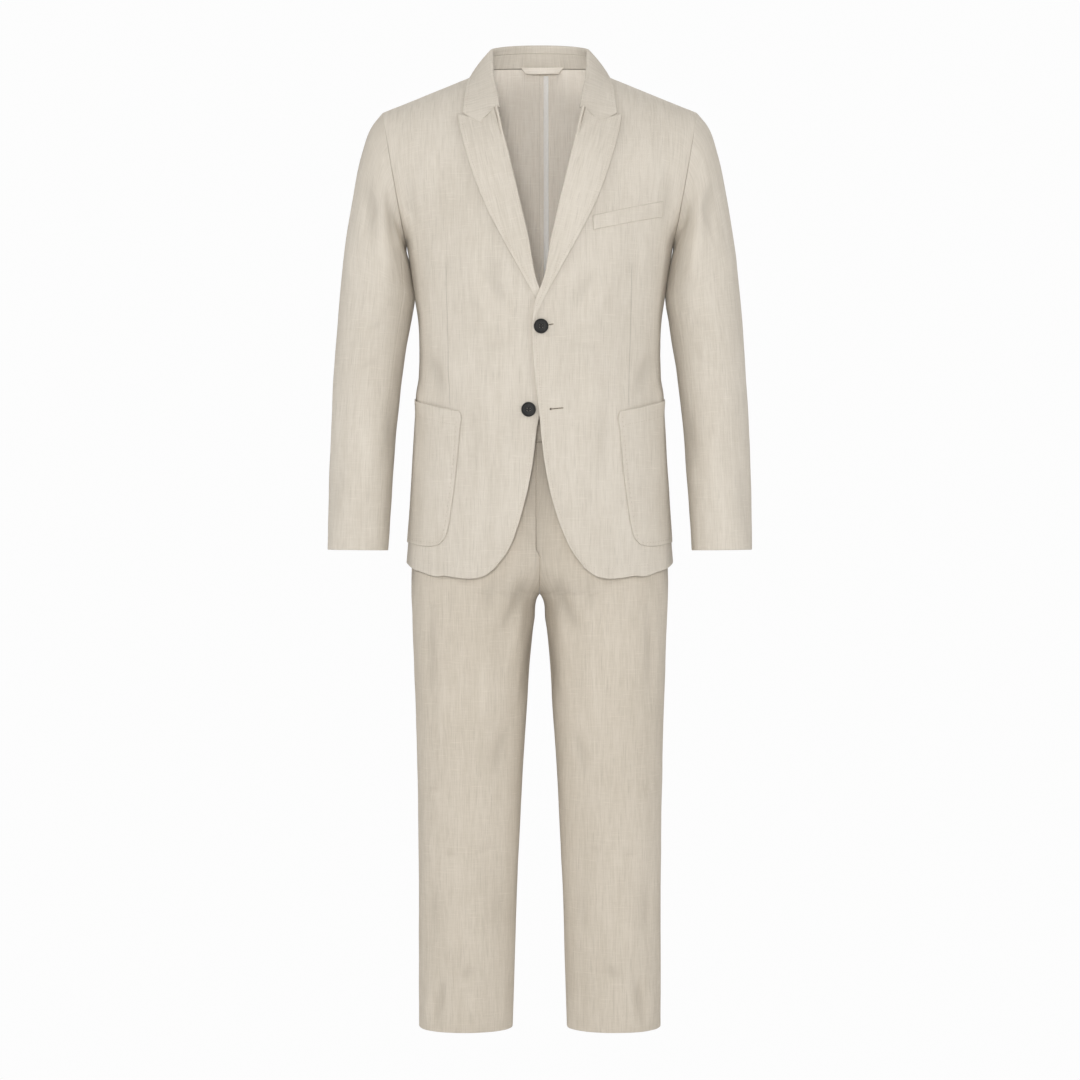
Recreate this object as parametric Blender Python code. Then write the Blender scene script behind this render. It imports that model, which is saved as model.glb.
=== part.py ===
"""Linen suit: an unlined two-button jacket with peak lapels over straight trousers, both hollow.

X runs to the wearer's left, the front faces -Y and Z is up. The origin is the middle of the neck
at the height of the jacket's side neck points. Sizes are in millimetres until a mesh is made.
"""
import math

import bmesh
import bpy
import numpy as np
from mathutils import Vector
from mathutils.bvhtree import BVHTree

MM = 0.001

# Cloth
WALL = 1.6
SEAM_GAP = 0.3
LAY_LIFT = 1.0
TRIM_WALL = 1.2

# Body of the jacket
BODY_SQUARENESS = 2.35
SIDE_SEAM_Y = 10.0
UNDERARM_Z = -255.0
HEM_SIDE_Z = -730.0
HEM_BACK_Z = -737.0
HEM_CORNER = (65.7, -737.0)
CHEST_FULLNESS = 2.0
BACK_FULLNESS = 1.5

# The left front laps over the right one below the crossing of the two roll lines
LAP_LIFT = 2.6
LAP_WIDTH = 52.0
LAP_FADE = 36.0
CROSSING_Z = -334.0
CROSSING_RISE = 22.0
CROSSING_FADE = 26.0

TORSO_COLUMNS = ("z", "half_width", "front", "back")
TORSO = (
    (-760, 203.0, 135, 131),
    (-696, 198.0, 133, 130),
    (-640, 194.0, 131, 128),
    (-573, 189.5, 128, 122),
    (-520, 186.5, 125, 112),
    (-470, 182.5, 122, 104),
    (-430, 181.3, 122, 101),
    (-366, 183.0, 125, 105),
    (-331, 188.0, 127, 111),
    (-297, 193.0, 128, 117),
    (-255, 200.0, 127, 122),
)

# Front edge of the left front, from the hem corner up to the start of the chest rows
EDGE_COLUMNS = ("z", "x")
FRONT_EDGE = (
    (-737, 65.7),
    (-714, 48.3),
    (-676, 30.7),
    (-637, 18.2),
    (-589, 8.2),
    (-551, 3.2),
    (-511, -0.6),
    (-450, -7.7),
    (-409, -10.8),
    (-383, -11.4),
    (-346, -5.0),
    (-324, 4.1),
    (-255, 18.2),
)

# Hem of the front, from the hem corner round to the side seam
FRONT_HEM_COLUMNS = ("x", "z")
FRONT_HEM = (
    (65.7, -737.0),
    (80.8, -748.0),
    (98.0, -752.0),
    (121.0, -751.0),
    (142.0, -748.3),
    (152.6, -749.2),
    (174.0, -743.0),
    (191.0, -737.0),
    (200.0, HEM_SIDE_Z),
)

# Roll line and front neck, from the underarm row up to the side neck point
NECK_EDGE_COLUMNS = ("x", "y", "z")
NECK_EDGE = (
    (37.7, -114.0, -171),
    (53.5, -93.0, -103),
    (64.0, -66.0, -58),
    (70.0, -45.0, -29),
    (76.0, -14.0, 0),
    (80.0, 8.0, 10),
)
SIDE_NECK = np.array((80.0, 8.0, 10.0))
BACK_NECK = np.array((0.0, 72.0, 21.7))

CENTRE_BACK_COLUMNS = ("y", "z")
CENTRE_BACK = (
    (121.0, -205),
    (118.5, -155),
    (112.0, -100),
    (99.0, -50),
    (82.0, -5),
    (72.0, 21.7),
)

# Armhole and sleeve
ARMHOLE_CENTRE = np.array((217.5, 7.0, -155.0))
ARMHOLE_AXIS = np.array((17.5, -3.0, 100.0))
ARMHOLE_HALF_DEPTH = 60.0

SLEEVE_COLUMNS = ("outer_x", "outer_z", "inner_x", "inner_z", "y_centre", "half_depth")
SLEEVE = (
    (252.0, -76, 199.9, -263, 7, 65),
    (267.0, -117, 197.6, -275, 6, 67),
    (281.0, -186, 195.0, -292, 5, 68),
    (290.0, -240, 192.8, -310, 3, 68),
    (297.0, -300, 190.4, -333, 2, 67),
    (303.0, -366, 193.8, -372, 0, 64),
    (308.4, -443, 205.0, -443, -3, 60),
    (312.0, -521, 213.0, -521, -10, 57),
    (315.0, -624, 220.5, -624, -24, 52.5),
    (315.6, -710, 225.8, -711, -36, 49),
)
SLEEVE_HEAD = (235.0, -55.0, 200.0, UNDERARM_Z, 7.0, ARMHOLE_HALF_DEPTH)
SLEEVE_OUTSET = 0.5
SLEEVE_SIDES = 24
SLEEVE_RINGS = 12

# Trousers
TROUSER_COLUMNS = ("z", "outer", "inner", "front", "back")
TROUSERS = (
    (-552, 158.0, -158.0, 96.0, 93),
    (-584, 164.0, -164.0, 99.0, 98),
    (-640, 178.0, -150.0, 108.0, 106),
    (-700, 189.0, -96.0, 113.0, 113),
    (-740, 192.0, -50.0, 112.0, 114),
    (-775, 192.0, -1.0, 106.0, 112),
    (-816, 190.5, 8.3, 98.0, 106),
    (-861, 189.0, 13.5, 94.0, 101),
    (-951, 186.0, 19.5, 86.0, 93),
    (-1041, 183.5, 25.5, 79.0, 87),
    (-1131, 182.0, 30.0, 73.0, 83),
    (-1221, 181.3, 34.5, 69.0, 80),
    (-1311, 181.3, 37.0, 66.5, 78),
    (-1424, 181.0, 40.5, 65.0, 75),
)
TROUSER_SQUARENESS = 2.15
FLY_LAP = 5.9
FLY_END_Z = -722.0
FLY_CURVE = 14.0

# Below this height the legs part, and each leg has an inseam
CROTCH_Z = -776.0
INSEAM_START_X = 1.0

# Waistband
BAND_TOP_Z = -514.0
BAND_BOTTOM_Z = -552.0
BAND_HALF_WIDTH = 157.6
BAND_FRONT = 95.6
BAND_BACK = 92.6
BAND_COLUMNS = 36

# Lapels, as places across the front
LAPEL_FOOT_Z = -376.0
RIGHT_LAPEL_FOOT_Z = -343.0
FRONT_CLEAR = 0.9
GORGE_TOP = (64.0, -58.0)
NOTCH = (86.9, -79.0)
PEAK_TIP = (120.5, -67.5)
GORGE_CLEAR = 1.3
LAPEL_ROLL = 2.4
LAPEL_ROLL_WIDTH = 60.0
LAPEL_BEND_POWER = 6
ROLL_BELOW_FOOT = 12.0
LAPEL_ROWS = 14
LAPEL_COLUMNS = 5
LAPEL_EDGE_COLUMNS = ("z", "x")
LAPEL_EDGE = (
    (-376, -8.8),
    (-357, 0.0),
    (-300, 30.7),
    (-255, 55.3),
    (-201, 82.0),
    (-136, 104.8),
    (-85, 118.0),
    (-67.5, 120.5),
)

# Collar: shares of the way from the centre back to the gorge
SIDE_SHARE = 0.4
STAND_PART = 0.66
STAND_CLEAR = 0.8
FALL_GAP_PART = 0.026
CREST_CENTRE = (0.0, 71.0, 57.5)
CREST_SIDE = (71.0, 10.0, 40.0)
CREST_FRONT = ((69.0, -25.0, -2.0), (64.5, -51.0, -30.0), (61.6, -69.0, -57.0))
FALL_CENTRE = (0.0, 82.0, 12.5)
FALL_SIDE = (102.5, 12.0, 3.0)
FALL_FRONT = ((107.5, -14.0, -14.0), (111.5, -42.0, -39.0), (114.5, -66.0, -63.0))
GORGE_START = (64.0, -68.0, -57.5)
NOTCH_POINT = (86.9, -80.0, -78.5)
NOTCH_PART = 0.47
NOTCH_FROM = 0.72
FOLD_WIDTH = 3.2
FOLD_DROP = 1.0
FALL_ROUND = 2.0
FALL_PARTS = (0.0, 0.25, 0.47, 0.75, 1.0)
FALL_COLUMNS = 14
STAND_COLUMNS = 12

# Patch pocket, breast welt, loop and tape
POCKET_INNER_EDGE = (
    (146.0, -702.0),
    (138.5, -693.0),
    (133.3, -676.0),
    (129.5, -651.0),
    (123.0, -601.0),
    (117.0, -535.0),
    (115.5, -512.0),
    (117.5, -507.5),
)
POCKET_BOTTOM = ((146.0, -702.0), (154.0, -704.5), (172.0, -704.5), (190.0, -699.0))
POCKET_SIDE_DEGREES = 84.0
POCKET_SIDE_TOP_Z = -485.0
POCKET_ROWS = 9
POCKET_COLUMNS = 7
WELT_CORNERS = ((78.2, -243.6), (180.7, -219.5), (77.3, -222.8), (181.9, -196.9))
WELT_COLUMNS = 6
LOOP_CENTRE_X = 3.6
LOOP_TOP_HALF = 32.0
LOOP_BOTTOM_HALF = 24.8
LOOP_TOP_Z = 23.4
LOOP_BOTTOM_Z = 13.6
LOOP_LIFT = 0.9
LOOP_BOW = 7.0
LOOP_COLUMNS = 12
TAPE_INNER_X = 6.1
TAPE_OUTER_X = 13.6
TAPE_TOP_Z = 12.5
TAPE_END_CLEAR = 3.0
TAPE_ROWS = 26

# Buttons
BUTTON_RADIUS = 10.7
BUTTON_PROFILE = ((0.7, 0.0), (1.0, 1.4), (0.98, 2.9), (0.88, 3.5), (0.7, 2.8))
BUTTON_SIDES = 20
BUTTON_LIFT = 0.8
BUTTON_ROUGHNESS = 0.45
HOLE_RADIUS = 0.9
HOLE_SPACING = 3.4
HOLE_SIDES = 8
HOLE_CUT_DEPTH = 20.0
TOP_BUTTON = (1.9, -384.8)
LOWER_BUTTON = (-16.4, -505.8)
VIEW_Y = -400.0
CHEST_Y = -100.0

# Grid steps
FINE_COLUMNS = 40
FINE_ROWS = 40
FRONT_COLUMNS = 10
FRONT_LOWER_ROWS = 13
CHEST_ROWS = 8
BACK_COLUMNS = 10
BACK_NECK_COLUMNS = 4
TROUSER_PANEL_COLUMNS = 8
TROUSER_ROWS = 18


def clear_scene():
    for item in list(bpy.data.objects):
        bpy.data.objects.remove(item)


def smooth_through(knots, values, at):
    """Read a smooth curve that passes through the values given at rising knots."""
    knots = np.asarray(knots, float)
    values = np.asarray(values, float)
    at = np.atleast_1d(np.asarray(at, float))
    slopes = np.gradient(values, knots, axis=0)
    index = np.clip(np.searchsorted(knots, at, side="right") - 1, 0, len(knots) - 2)
    width = knots[index + 1] - knots[index]
    t = np.clip((at - knots[index]) / width, 0.0, 1.0)
    shape = (-1,) + (1,) * (values.ndim - 1)
    t = t.reshape(shape)
    width = width.reshape(shape)
    start = (2 * t**3 - 3 * t**2 + 1) * values[index] + (t**3 - 2 * t**2 + t) * width * slopes[index]
    end = (3 * t**2 - 2 * t**3) * values[index + 1] + (t**3 - t**2) * width * slopes[index + 1]
    return start + end


def column(table, names, wanted, known, at):
    """Read one column of a table at places given in another of its columns."""
    rows = sorted(table, key=lambda row: row[names.index(known)])
    knots = [row[names.index(known)] for row in rows]
    values = [row[names.index(wanted)] for row in rows]
    return smooth_through(knots, values, at)


def picked(table, names, *wanted):
    """Some columns of a table, as an array of points."""
    return np.array([[row[names.index(name)] for name in wanted] for row in table], float)


def along(points, fraction):
    """Walk a smooth curve through points, by its share of the whole length."""
    points = np.asarray(points, float)
    steps = np.linalg.norm(np.diff(points, axis=0), axis=1)
    knots = np.concatenate(([0.0], np.cumsum(steps))) / steps.sum()
    return smooth_through(knots, points, fraction)


def ease(value):
    """Rise smoothly from 0 to 1."""
    value = np.clip(value, 0.0, 1.0)
    return value * value * (3 - 2 * value)


def power(value, exponent):
    return np.sign(value) * np.abs(value) ** exponent


def torso_angle(x, z):
    """Angle round the body, 0 at the middle and 90 degrees at the side seam."""
    half_width = column(TORSO, TORSO_COLUMNS, "half_width", "z", z)
    share = np.clip(np.abs(x) / half_width, 0.0, 1.0)
    return np.sign(x) * np.arcsin(share ** (BODY_SQUARENESS / 2))


def torso(angle, z, half):
    """Points on the outside of the body, on its front or back half."""
    flat_z = np.ravel(z)
    half_width = column(TORSO, TORSO_COLUMNS, "half_width", "z", flat_z).reshape(np.shape(z))
    depth = column(TORSO, TORSO_COLUMNS, half, "z", flat_z).reshape(np.shape(z))
    x = half_width * power(np.sin(angle), 2 / BODY_SQUARENESS)
    reach = power(np.cos(angle), 2 / BODY_SQUARENESS)
    if half == "front":
        y = SIDE_SEAM_Y - (depth + SIDE_SEAM_Y) * reach
    else:
        y = SIDE_SEAM_Y + (depth - SIDE_SEAM_Y) * reach
    return np.stack((x, y, z * np.ones_like(x)), axis=-1)


def armhole(turn):
    """The armhole's edge: turn 0 at the shoulder, 180 degrees at the underarm, front first."""
    turn = np.atleast_1d(turn)[:, None]
    forward = np.array((0.0, -ARMHOLE_HALF_DEPTH, 0.0))
    return ARMHOLE_CENTRE + ARMHOLE_AXIS * np.cos(turn) + forward * np.sin(turn)


def patch_between(left, right, bottom, top):
    """Fill four meeting edge curves with a smooth patch of points, rows upwards."""
    rows = np.linspace(0, 1, len(left))[:, None, None]
    columns = np.linspace(0, 1, len(bottom))[None, :, None]
    across = (1 - columns) * left[:, None, :] + columns * right[:, None, :]
    upward = (1 - rows) * bottom[None, :, :] + rows * top[None, :, :]
    low = (1 - columns) * bottom[0] + columns * bottom[-1]
    high = (1 - columns) * top[0] + columns * top[-1]
    return across + upward - ((1 - rows) * low + rows * high)


def chest_rows(inner_edge, outer_edge, bottom_row, top_row, fullness):
    """Rows from the underarm to the shoulder, keeping the bottom row's roundness as they rise."""
    share = np.linspace(0, 1, len(bottom_row))[:, None]
    bottom_round = bottom_row - (bottom_row[0] + (bottom_row[-1] - bottom_row[0]) * share)
    top_round = top_row - (top_row[0] + (top_row[-1] - top_row[0]) * share)
    rows = []
    for height, start, end in zip(np.linspace(0, 1, len(inner_edge)), inner_edge, outer_edge):
        straight = start + (end - start) * share
        rows.append(straight + bottom_round * (1 - height) ** fullness + top_round * height**3)
    return np.array(rows)


def front_grid(columns=FRONT_COLUMNS, lower=FRONT_LOWER_ROWS, upper=CHEST_ROWS):
    """Outside of the wearer's left front, from its front edge to the side seam and armhole."""
    corner_x, corner_z = HEM_CORNER
    edge_z = np.linspace(corner_z, UNDERARM_Z, lower + 1)
    edge_x = column(FRONT_EDGE, EDGE_COLUMNS, "x", "z", edge_z)
    left = np.stack((torso_angle(edge_x, edge_z), edge_z), axis=-1)
    hem = along(picked(FRONT_HEM, FRONT_HEM_COLUMNS, "x", "z"), np.linspace(0, 1, columns + 1))
    bottom = np.stack((torso_angle(hem[:, 0], hem[:, 1]), hem[:, 1]), axis=-1)
    bottom[-1, 0] = math.pi / 2
    side_z = np.linspace(HEM_SIDE_Z, UNDERARM_Z, lower + 1)
    right = np.stack((np.full(lower + 1, math.pi / 2), side_z), axis=-1)
    underarm = np.linspace(left[-1, 0], math.pi / 2, columns + 1)
    top = np.stack((underarm, np.full(columns + 1, UNDERARM_Z)), axis=-1)
    flat = patch_between(left, right, bottom, top)
    body = torso(flat[..., 0], flat[..., 1], "front")
    neck = np.vstack((body[-1, 0], picked(NECK_EDGE, NECK_EDGE_COLUMNS, "x", "y", "z")))
    inner_edge = along(neck, np.linspace(0, 1, upper + 1))
    outer_edge = armhole(np.linspace(math.pi, 0, upper + 1))
    across = np.linspace(0, 1, columns + 1)[:, None]
    shoulder = inner_edge[-1] + (outer_edge[-1] - inner_edge[-1]) * across
    chest = chest_rows(inner_edge, outer_edge, body[-1], shoulder, CHEST_FULLNESS)
    return np.vstack((body, chest[1:]))


def back_grid(columns=BACK_COLUMNS, lower=FRONT_LOWER_ROWS, upper=CHEST_ROWS):
    """Outside of the wearer's left back, from the centre seam to the side seam."""
    angles = np.linspace(0, math.pi / 2, columns + 1)
    rise = np.linspace(0, 1, lower + 1)
    hem_z = HEM_BACK_Z + (HEM_SIDE_Z - HEM_BACK_Z) * np.sin(angles) ** 2
    z = hem_z[None, :] + (UNDERARM_Z - hem_z[None, :]) * rise[:, None]
    body = torso(np.broadcast_to(angles, z.shape), z, "back")
    seam = picked(CENTRE_BACK, CENTRE_BACK_COLUMNS, "y", "z")
    seam = np.insert(seam, 0, 0.0, axis=1)
    inner_edge = along(np.vstack((body[-1, 0], seam)), np.linspace(0, 1, upper + 1))
    outer_edge = armhole(np.linspace(-math.pi, 0, upper + 1))
    neck_columns = round(columns * BACK_NECK_COLUMNS / BACK_COLUMNS)
    neck = back_neck(np.linspace(0, 1, neck_columns + 1))
    top = np.vstack((neck, shoulder_seam(columns - neck_columns)[1:]))
    chest = chest_rows(inner_edge, outer_edge, body[-1], top, BACK_FULLNESS)
    return np.vstack((body, chest[1:]))


def back_neck(share):
    """The back neck's seam, from the centre back to the side neck point."""
    turn = np.asarray(share) * math.pi / 2
    x = SIDE_NECK[0] * np.sin(turn)
    y = SIDE_NECK[1] + (BACK_NECK[1] - SIDE_NECK[1]) * np.cos(turn)
    z = SIDE_NECK[2] + (BACK_NECK[2] - SIDE_NECK[2]) * np.cos(turn)
    return np.stack((x, y, z), axis=-1)


def shoulder_seam(steps):
    tip = armhole(0.0)[0]
    return SIDE_NECK + (tip - SIDE_NECK) * np.linspace(0, 1, steps + 1)[:, None]


def sleeve_grid(sides=SLEEVE_SIDES, rings=SLEEVE_RINGS):
    """Outside of the left sleeve, ring by ring from the armhole to the cuff."""
    table = picked((SLEEVE_HEAD,) + SLEEVE, SLEEVE_COLUMNS, *SLEEVE_COLUMNS)
    outer = picked((SLEEVE_HEAD,) + SLEEVE, SLEEVE_COLUMNS, "outer_x", "outer_z")
    inner = picked((SLEEVE_HEAD,) + SLEEVE, SLEEVE_COLUMNS, "inner_x", "inner_z")
    steps = np.linalg.norm(np.diff((outer + inner) / 2, axis=0), axis=1)
    knots = np.concatenate(([0.0], np.cumsum(steps)))
    places = smooth_through(knots, table, np.linspace(0, knots[-1], rings + 1))
    turns = np.linspace(0, 2 * math.pi, sides, endpoint=False)
    grid = []
    for outer_x, outer_z, inner_x, inner_z, y_centre, half_depth in places:
        centre = np.array(((outer_x + inner_x) / 2, y_centre, (outer_z + inner_z) / 2))
        across = np.array(((outer_x - inner_x) / 2, 0.0, (outer_z - inner_z) / 2))
        forward = np.array((0.0, -half_depth, 0.0))
        grid.append(centre + across * np.cos(turns)[:, None] + forward * np.sin(turns)[:, None])
    grid = np.array(grid)
    grid[0] = armhole(turns) + np.array((SLEEVE_OUTSET, 0.0, 0.0))
    return grid


def fly_edge(z):
    """Where the fly's edge stands off the centre line: the left front laps past it."""
    return -FLY_LAP * ease((z - FLY_END_Z) / FLY_CURVE)


def trouser_grid(half, side=1.0, columns=TROUSER_PANEL_COLUMNS, rows=TROUSER_ROWS):
    """Outside of one panel of a leg, from its hem up to the waistband, as a left leg."""
    heights = np.linspace(TROUSERS[-1][0], BAND_BOTTOM_Z - SEAM_GAP, rows + 1)
    grid = []
    for z in heights:
        outer = column(TROUSERS, TROUSER_COLUMNS, "outer", "z", z)[0]
        inner = column(TROUSERS, TROUSER_COLUMNS, "inner", "z", z)[0]
        depth = column(TROUSERS, TROUSER_COLUMNS, half, "z", z)[0]
        centre = (outer + inner) / 2
        radius = (outer - inner) / 2
        start_x = side * fly_edge(z) if half == "front" else 0.0
        share = np.clip((start_x - centre) / radius, -1.0, 1.0)
        start = np.sign(share) * math.asin(abs(share) ** (TROUSER_SQUARENESS / 2))
        angles = np.linspace(start, math.pi / 2, columns + 1)
        x = centre + radius * power(np.sin(angles), 2 / TROUSER_SQUARENESS)
        reach = depth * power(np.cos(angles), 2 / TROUSER_SQUARENESS)
        y = -reach if half == "front" else reach
        grid.append(np.stack((x, y, np.full_like(x, z)), axis=-1))
    return np.array(grid)


def grid_normals(grid, ring=False):
    """Unit normals at every point of a grid."""
    if ring:
        around = np.roll(grid, -1, axis=1) - np.roll(grid, 1, axis=1)
    else:
        around = np.gradient(grid, axis=1)
    normals = np.cross(around, np.gradient(grid, axis=0))
    return normals / np.maximum(np.linalg.norm(normals, axis=-1, keepdims=True), 1e-9)


def flatten(normals, axis):
    """Take one direction out of some normals, so that an edge's end face lies square to it."""
    normals = normals.copy()
    normals[..., axis] = 0.0
    return normals / np.maximum(np.linalg.norm(normals, axis=-1, keepdims=True), 1e-9)


def wall_mesh(name, outer, inner, ring=False):
    """One closed wall between an outer and an inner grid of points."""
    rows, columns = outer.shape[:2]
    points = np.vstack((outer.reshape(-1, 3), inner.reshape(-1, 3))) * MM
    half = rows * columns
    faces = []

    def corner(layer, row, place):
        return layer * half + row * columns + place % columns

    last = columns if ring else columns - 1
    for row in range(rows - 1):
        for place in range(last):
            outer_face = [corner(0, row, place), corner(0, row, place + 1),
                          corner(0, row + 1, place + 1), corner(0, row + 1, place)]
            faces.append(outer_face)
            faces.append([index + half for index in reversed(outer_face)])
    for place in range(last):
        low = corner(0, 0, place)
        low_next = corner(0, 0, place + 1)
        faces.append([low_next, low, low + half, low_next + half])
        high = corner(0, rows - 1, place)
        high_next = corner(0, rows - 1, place + 1)
        faces.append([high, high_next, high_next + half, high + half])
    if not ring:
        for row in range(rows - 1):
            left = corner(0, row, 0)
            left_up = corner(0, row + 1, 0)
            faces.append([left, left_up, left_up + half, left + half])
            right = corner(0, row, columns - 1)
            right_up = corner(0, row + 1, columns - 1)
            faces.append([right_up, right, right + half, right_up + half])
    mesh = bpy.data.meshes.new(name)
    mesh.from_pydata([tuple(point) for point in points], [], faces)
    turn_outwards(mesh)
    return mesh


def turn_outwards(mesh):
    """Point a closed mesh's faces outwards."""
    work = bmesh.new()
    work.from_mesh(mesh)
    bmesh.ops.triangulate(work, faces=work.faces)
    if work.calc_volume(signed=True) < 0:
        bmesh.ops.reverse_faces(work, faces=work.faces)
    work.to_mesh(mesh)
    work.free()
    mesh.shade_smooth()


def cloth(name, color, roughness=0.9):
    material = bpy.data.materials.new(name)
    material.use_nodes = True
    shader = material.node_tree.nodes["Principled BSDF"]
    shader.inputs["Base Color"].default_value = (*color, 1.0)
    shader.inputs["Roughness"].default_value = roughness
    shader.inputs["Metallic"].default_value = 0.0
    material.diffuse_color = (*color, 1.0)
    return material


def add_piece(name, mesh, color, roughness=0.9):
    piece = bpy.data.objects.new(name, mesh)
    bpy.context.scene.collection.objects.link(piece)
    piece.data.materials.append(cloth(name, color, roughness))
    return piece


def mirrored(grid):
    return grid * np.array((-1.0, 1.0, 1.0))


def wall_from(grid, normals, first, second):
    """Two grids of a wall, at two heights along the normals."""
    return grid + normals * first, grid + normals * second


def lap_lift(grid):
    """How far the left front stands off the body where it laps over the right front."""
    near_middle = ease((LAP_WIDTH - grid[..., 0]) / LAP_FADE)
    below_crossing = ease((CROSSING_Z + CROSSING_RISE - grid[..., 2]) / CROSSING_FADE)
    return LAP_LIFT * near_middle * below_crossing


def build_fronts(color):
    grid = front_grid()
    normals = grid_normals(grid)
    normals[:, -1] = flatten(normals[:, -1], 1)
    normals[-1] = flatten(normals[-1], 1)
    grid = grid.copy()
    grid[:FRONT_LOWER_ROWS + 1, -1, 1] -= SEAM_GAP / 2
    grid[-1, :, 1] -= SEAM_GAP / 2
    outer, inner = wall_from(grid, normals, 0.0, -WALL)
    lift = lap_lift(grid)[..., None] * np.array((0.0, -1.0, 0.0))
    add_piece("jacket_front_left", wall_mesh("jacket_front_left", outer + lift, inner + lift), color)
    add_piece("jacket_front_right", wall_mesh("jacket_front_right", mirrored(outer), mirrored(inner)), color)


def build_backs(color):
    grid = back_grid()
    normals = -grid_normals(grid)
    normals[:, -1] = flatten(normals[:, -1], 1)
    normals[-1, BACK_NECK_COLUMNS:] = flatten(normals[-1, BACK_NECK_COLUMNS:], 1)
    normals[:, 0] = flatten(normals[:, 0], 0)
    grid = grid.copy()
    grid[:FRONT_LOWER_ROWS + 1, -1, 1] += SEAM_GAP / 2
    grid[-1, BACK_NECK_COLUMNS:, 1] += SEAM_GAP / 2
    grid[:, 0, 0] += SEAM_GAP / 2
    outer, inner = wall_from(grid, normals, 0.0, -WALL)
    add_piece("jacket_back_left", wall_mesh("jacket_back_left", outer, inner), color)
    add_piece("jacket_back_right", wall_mesh("jacket_back_right", mirrored(outer), mirrored(inner)), color)


def build_sleeves(color):
    grid = sleeve_grid()
    normals = grid_normals(grid, ring=True)
    radial = grid[0] - ARMHOLE_CENTRE
    normals[0] = radial / np.linalg.norm(radial, axis=-1, keepdims=True)
    outer, inner = wall_from(grid, normals, 0.0, -WALL)
    add_piece("sleeve_left", wall_mesh("sleeve_left", outer, inner, ring=True), color)
    add_piece("sleeve_right", wall_mesh("sleeve_right", mirrored(outer), mirrored(inner), ring=True), color)


def trouser_wall(half, side):
    """Outer and inner grids of one trouser panel, as if on the left leg."""
    outwards = -1.0 if half == "front" else 1.0
    grid = trouser_grid(half, side)
    normals = -outwards * grid_normals(grid)
    open_leg = grid[:, 0, 0] > INSEAM_START_X
    open_leg &= grid[:, 0, 2] < CROTCH_Z
    normals[:, -1] = flatten(normals[:, -1], 1)
    normals[open_leg, 0] = flatten(normals[open_leg, 0], 1)
    normals[~open_leg, 0] = flatten(normals[~open_leg, 0], 0)
    grid[:, -1, 1] += outwards * SEAM_GAP / 2
    grid[open_leg, 0, 1] += outwards * SEAM_GAP / 2
    grid[~open_leg, 0, 0] += SEAM_GAP / 2
    return wall_from(grid, normals, 0.0, -WALL)


def build_trousers(color):
    for half in ("front", "back"):
        for word, side in (("left", 1.0), ("right", -1.0)):
            outer, inner = trouser_wall(half, side)
            turn = np.array((side, 1.0, 1.0))
            name = f"trouser_{half}_{word}"
            add_piece(name, wall_mesh(name, outer * turn, inner * turn), color)


def build_waistband(color):
    """A straight band round the waist, its ends meeting above the fly."""
    heights = (BAND_BOTTOM_Z, BAND_TOP_Z)
    half_width = BAND_HALF_WIDTH
    lap = math.asin((FLY_LAP / half_width) ** (TROUSER_SQUARENESS / 2))
    gap = SEAM_GAP / half_width
    turns = np.linspace(-lap + gap, 2 * math.pi - lap - gap, BAND_COLUMNS + 1)
    x = half_width * power(np.sin(turns), 2 / TROUSER_SQUARENESS)
    reach = power(np.cos(turns), 2 / TROUSER_SQUARENESS)
    y = np.where(reach > 0, -BAND_FRONT * reach, -BAND_BACK * reach)
    grid = np.array([np.stack((x, y, np.full_like(x, z)), axis=-1) for z in heights])
    outer, inner = wall_from(grid, grid_normals(grid), 0.0, -WALL)
    add_piece("waistband", wall_mesh("waistband", outer, inner), color)


def surface_tree(grids):
    """A search tree over some outside surfaces, each given as a grid and its outward sign."""
    points = []
    faces = []
    for grid, sign in grids:
        start = len(points)
        rows, columns = grid.shape[:2]
        points.extend(Vector(point) for point in grid.reshape(-1, 3))
        for row in range(rows - 1):
            for place in range(columns - 1):
                first = start + row * columns + place
                face = [first, first + 1, first + 1 + columns, first + columns]
                faces.append(face if sign > 0 else face[::-1])
    return BVHTree.FromPolygons(points, faces)


def on_front(tree, x, z):
    """The point and outward normal of the front at some x and z, seen from straight ahead."""
    point, normal, _, _ = tree.ray_cast(Vector((x, VIEW_Y, z)), Vector((0, 1, 0)))
    if point is None:
        near, normal, _, _ = tree.find_nearest(Vector((x, CHEST_Y, z)))
        point = Vector((x, near.y, z))
    return np.array(point), np.array(normal)


def lay_on_front(tree, flat, low, high):
    """Lay a grid of x and z places on the front, as outer and inner grids of a wall."""
    outer = np.zeros(flat.shape[:2] + (3,))
    inner = np.zeros_like(outer)
    low = np.broadcast_to(low, flat.shape[:2])
    for index in np.ndindex(flat.shape[:2]):
        point, normal = on_front(tree, *flat[index])
        inner[index] = point + normal * low[index]
        outer[index] = inner[index] + normal * (high - np.min(low))
    return outer, inner


def roll_x(z):
    """Where the lapel folds, across the front."""
    edge = picked(FRONT_EDGE, EDGE_COLUMNS, "z", "x")
    rows = np.vstack((
        edge[edge[:, 0] > LAPEL_FOOT_Z - ROLL_BELOW_FOOT],
        picked(NECK_EDGE[:3], NECK_EDGE_COLUMNS, "z", "x"),
    ))
    return smooth_through(rows[:, 0], rows[:, 1], z)


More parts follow.
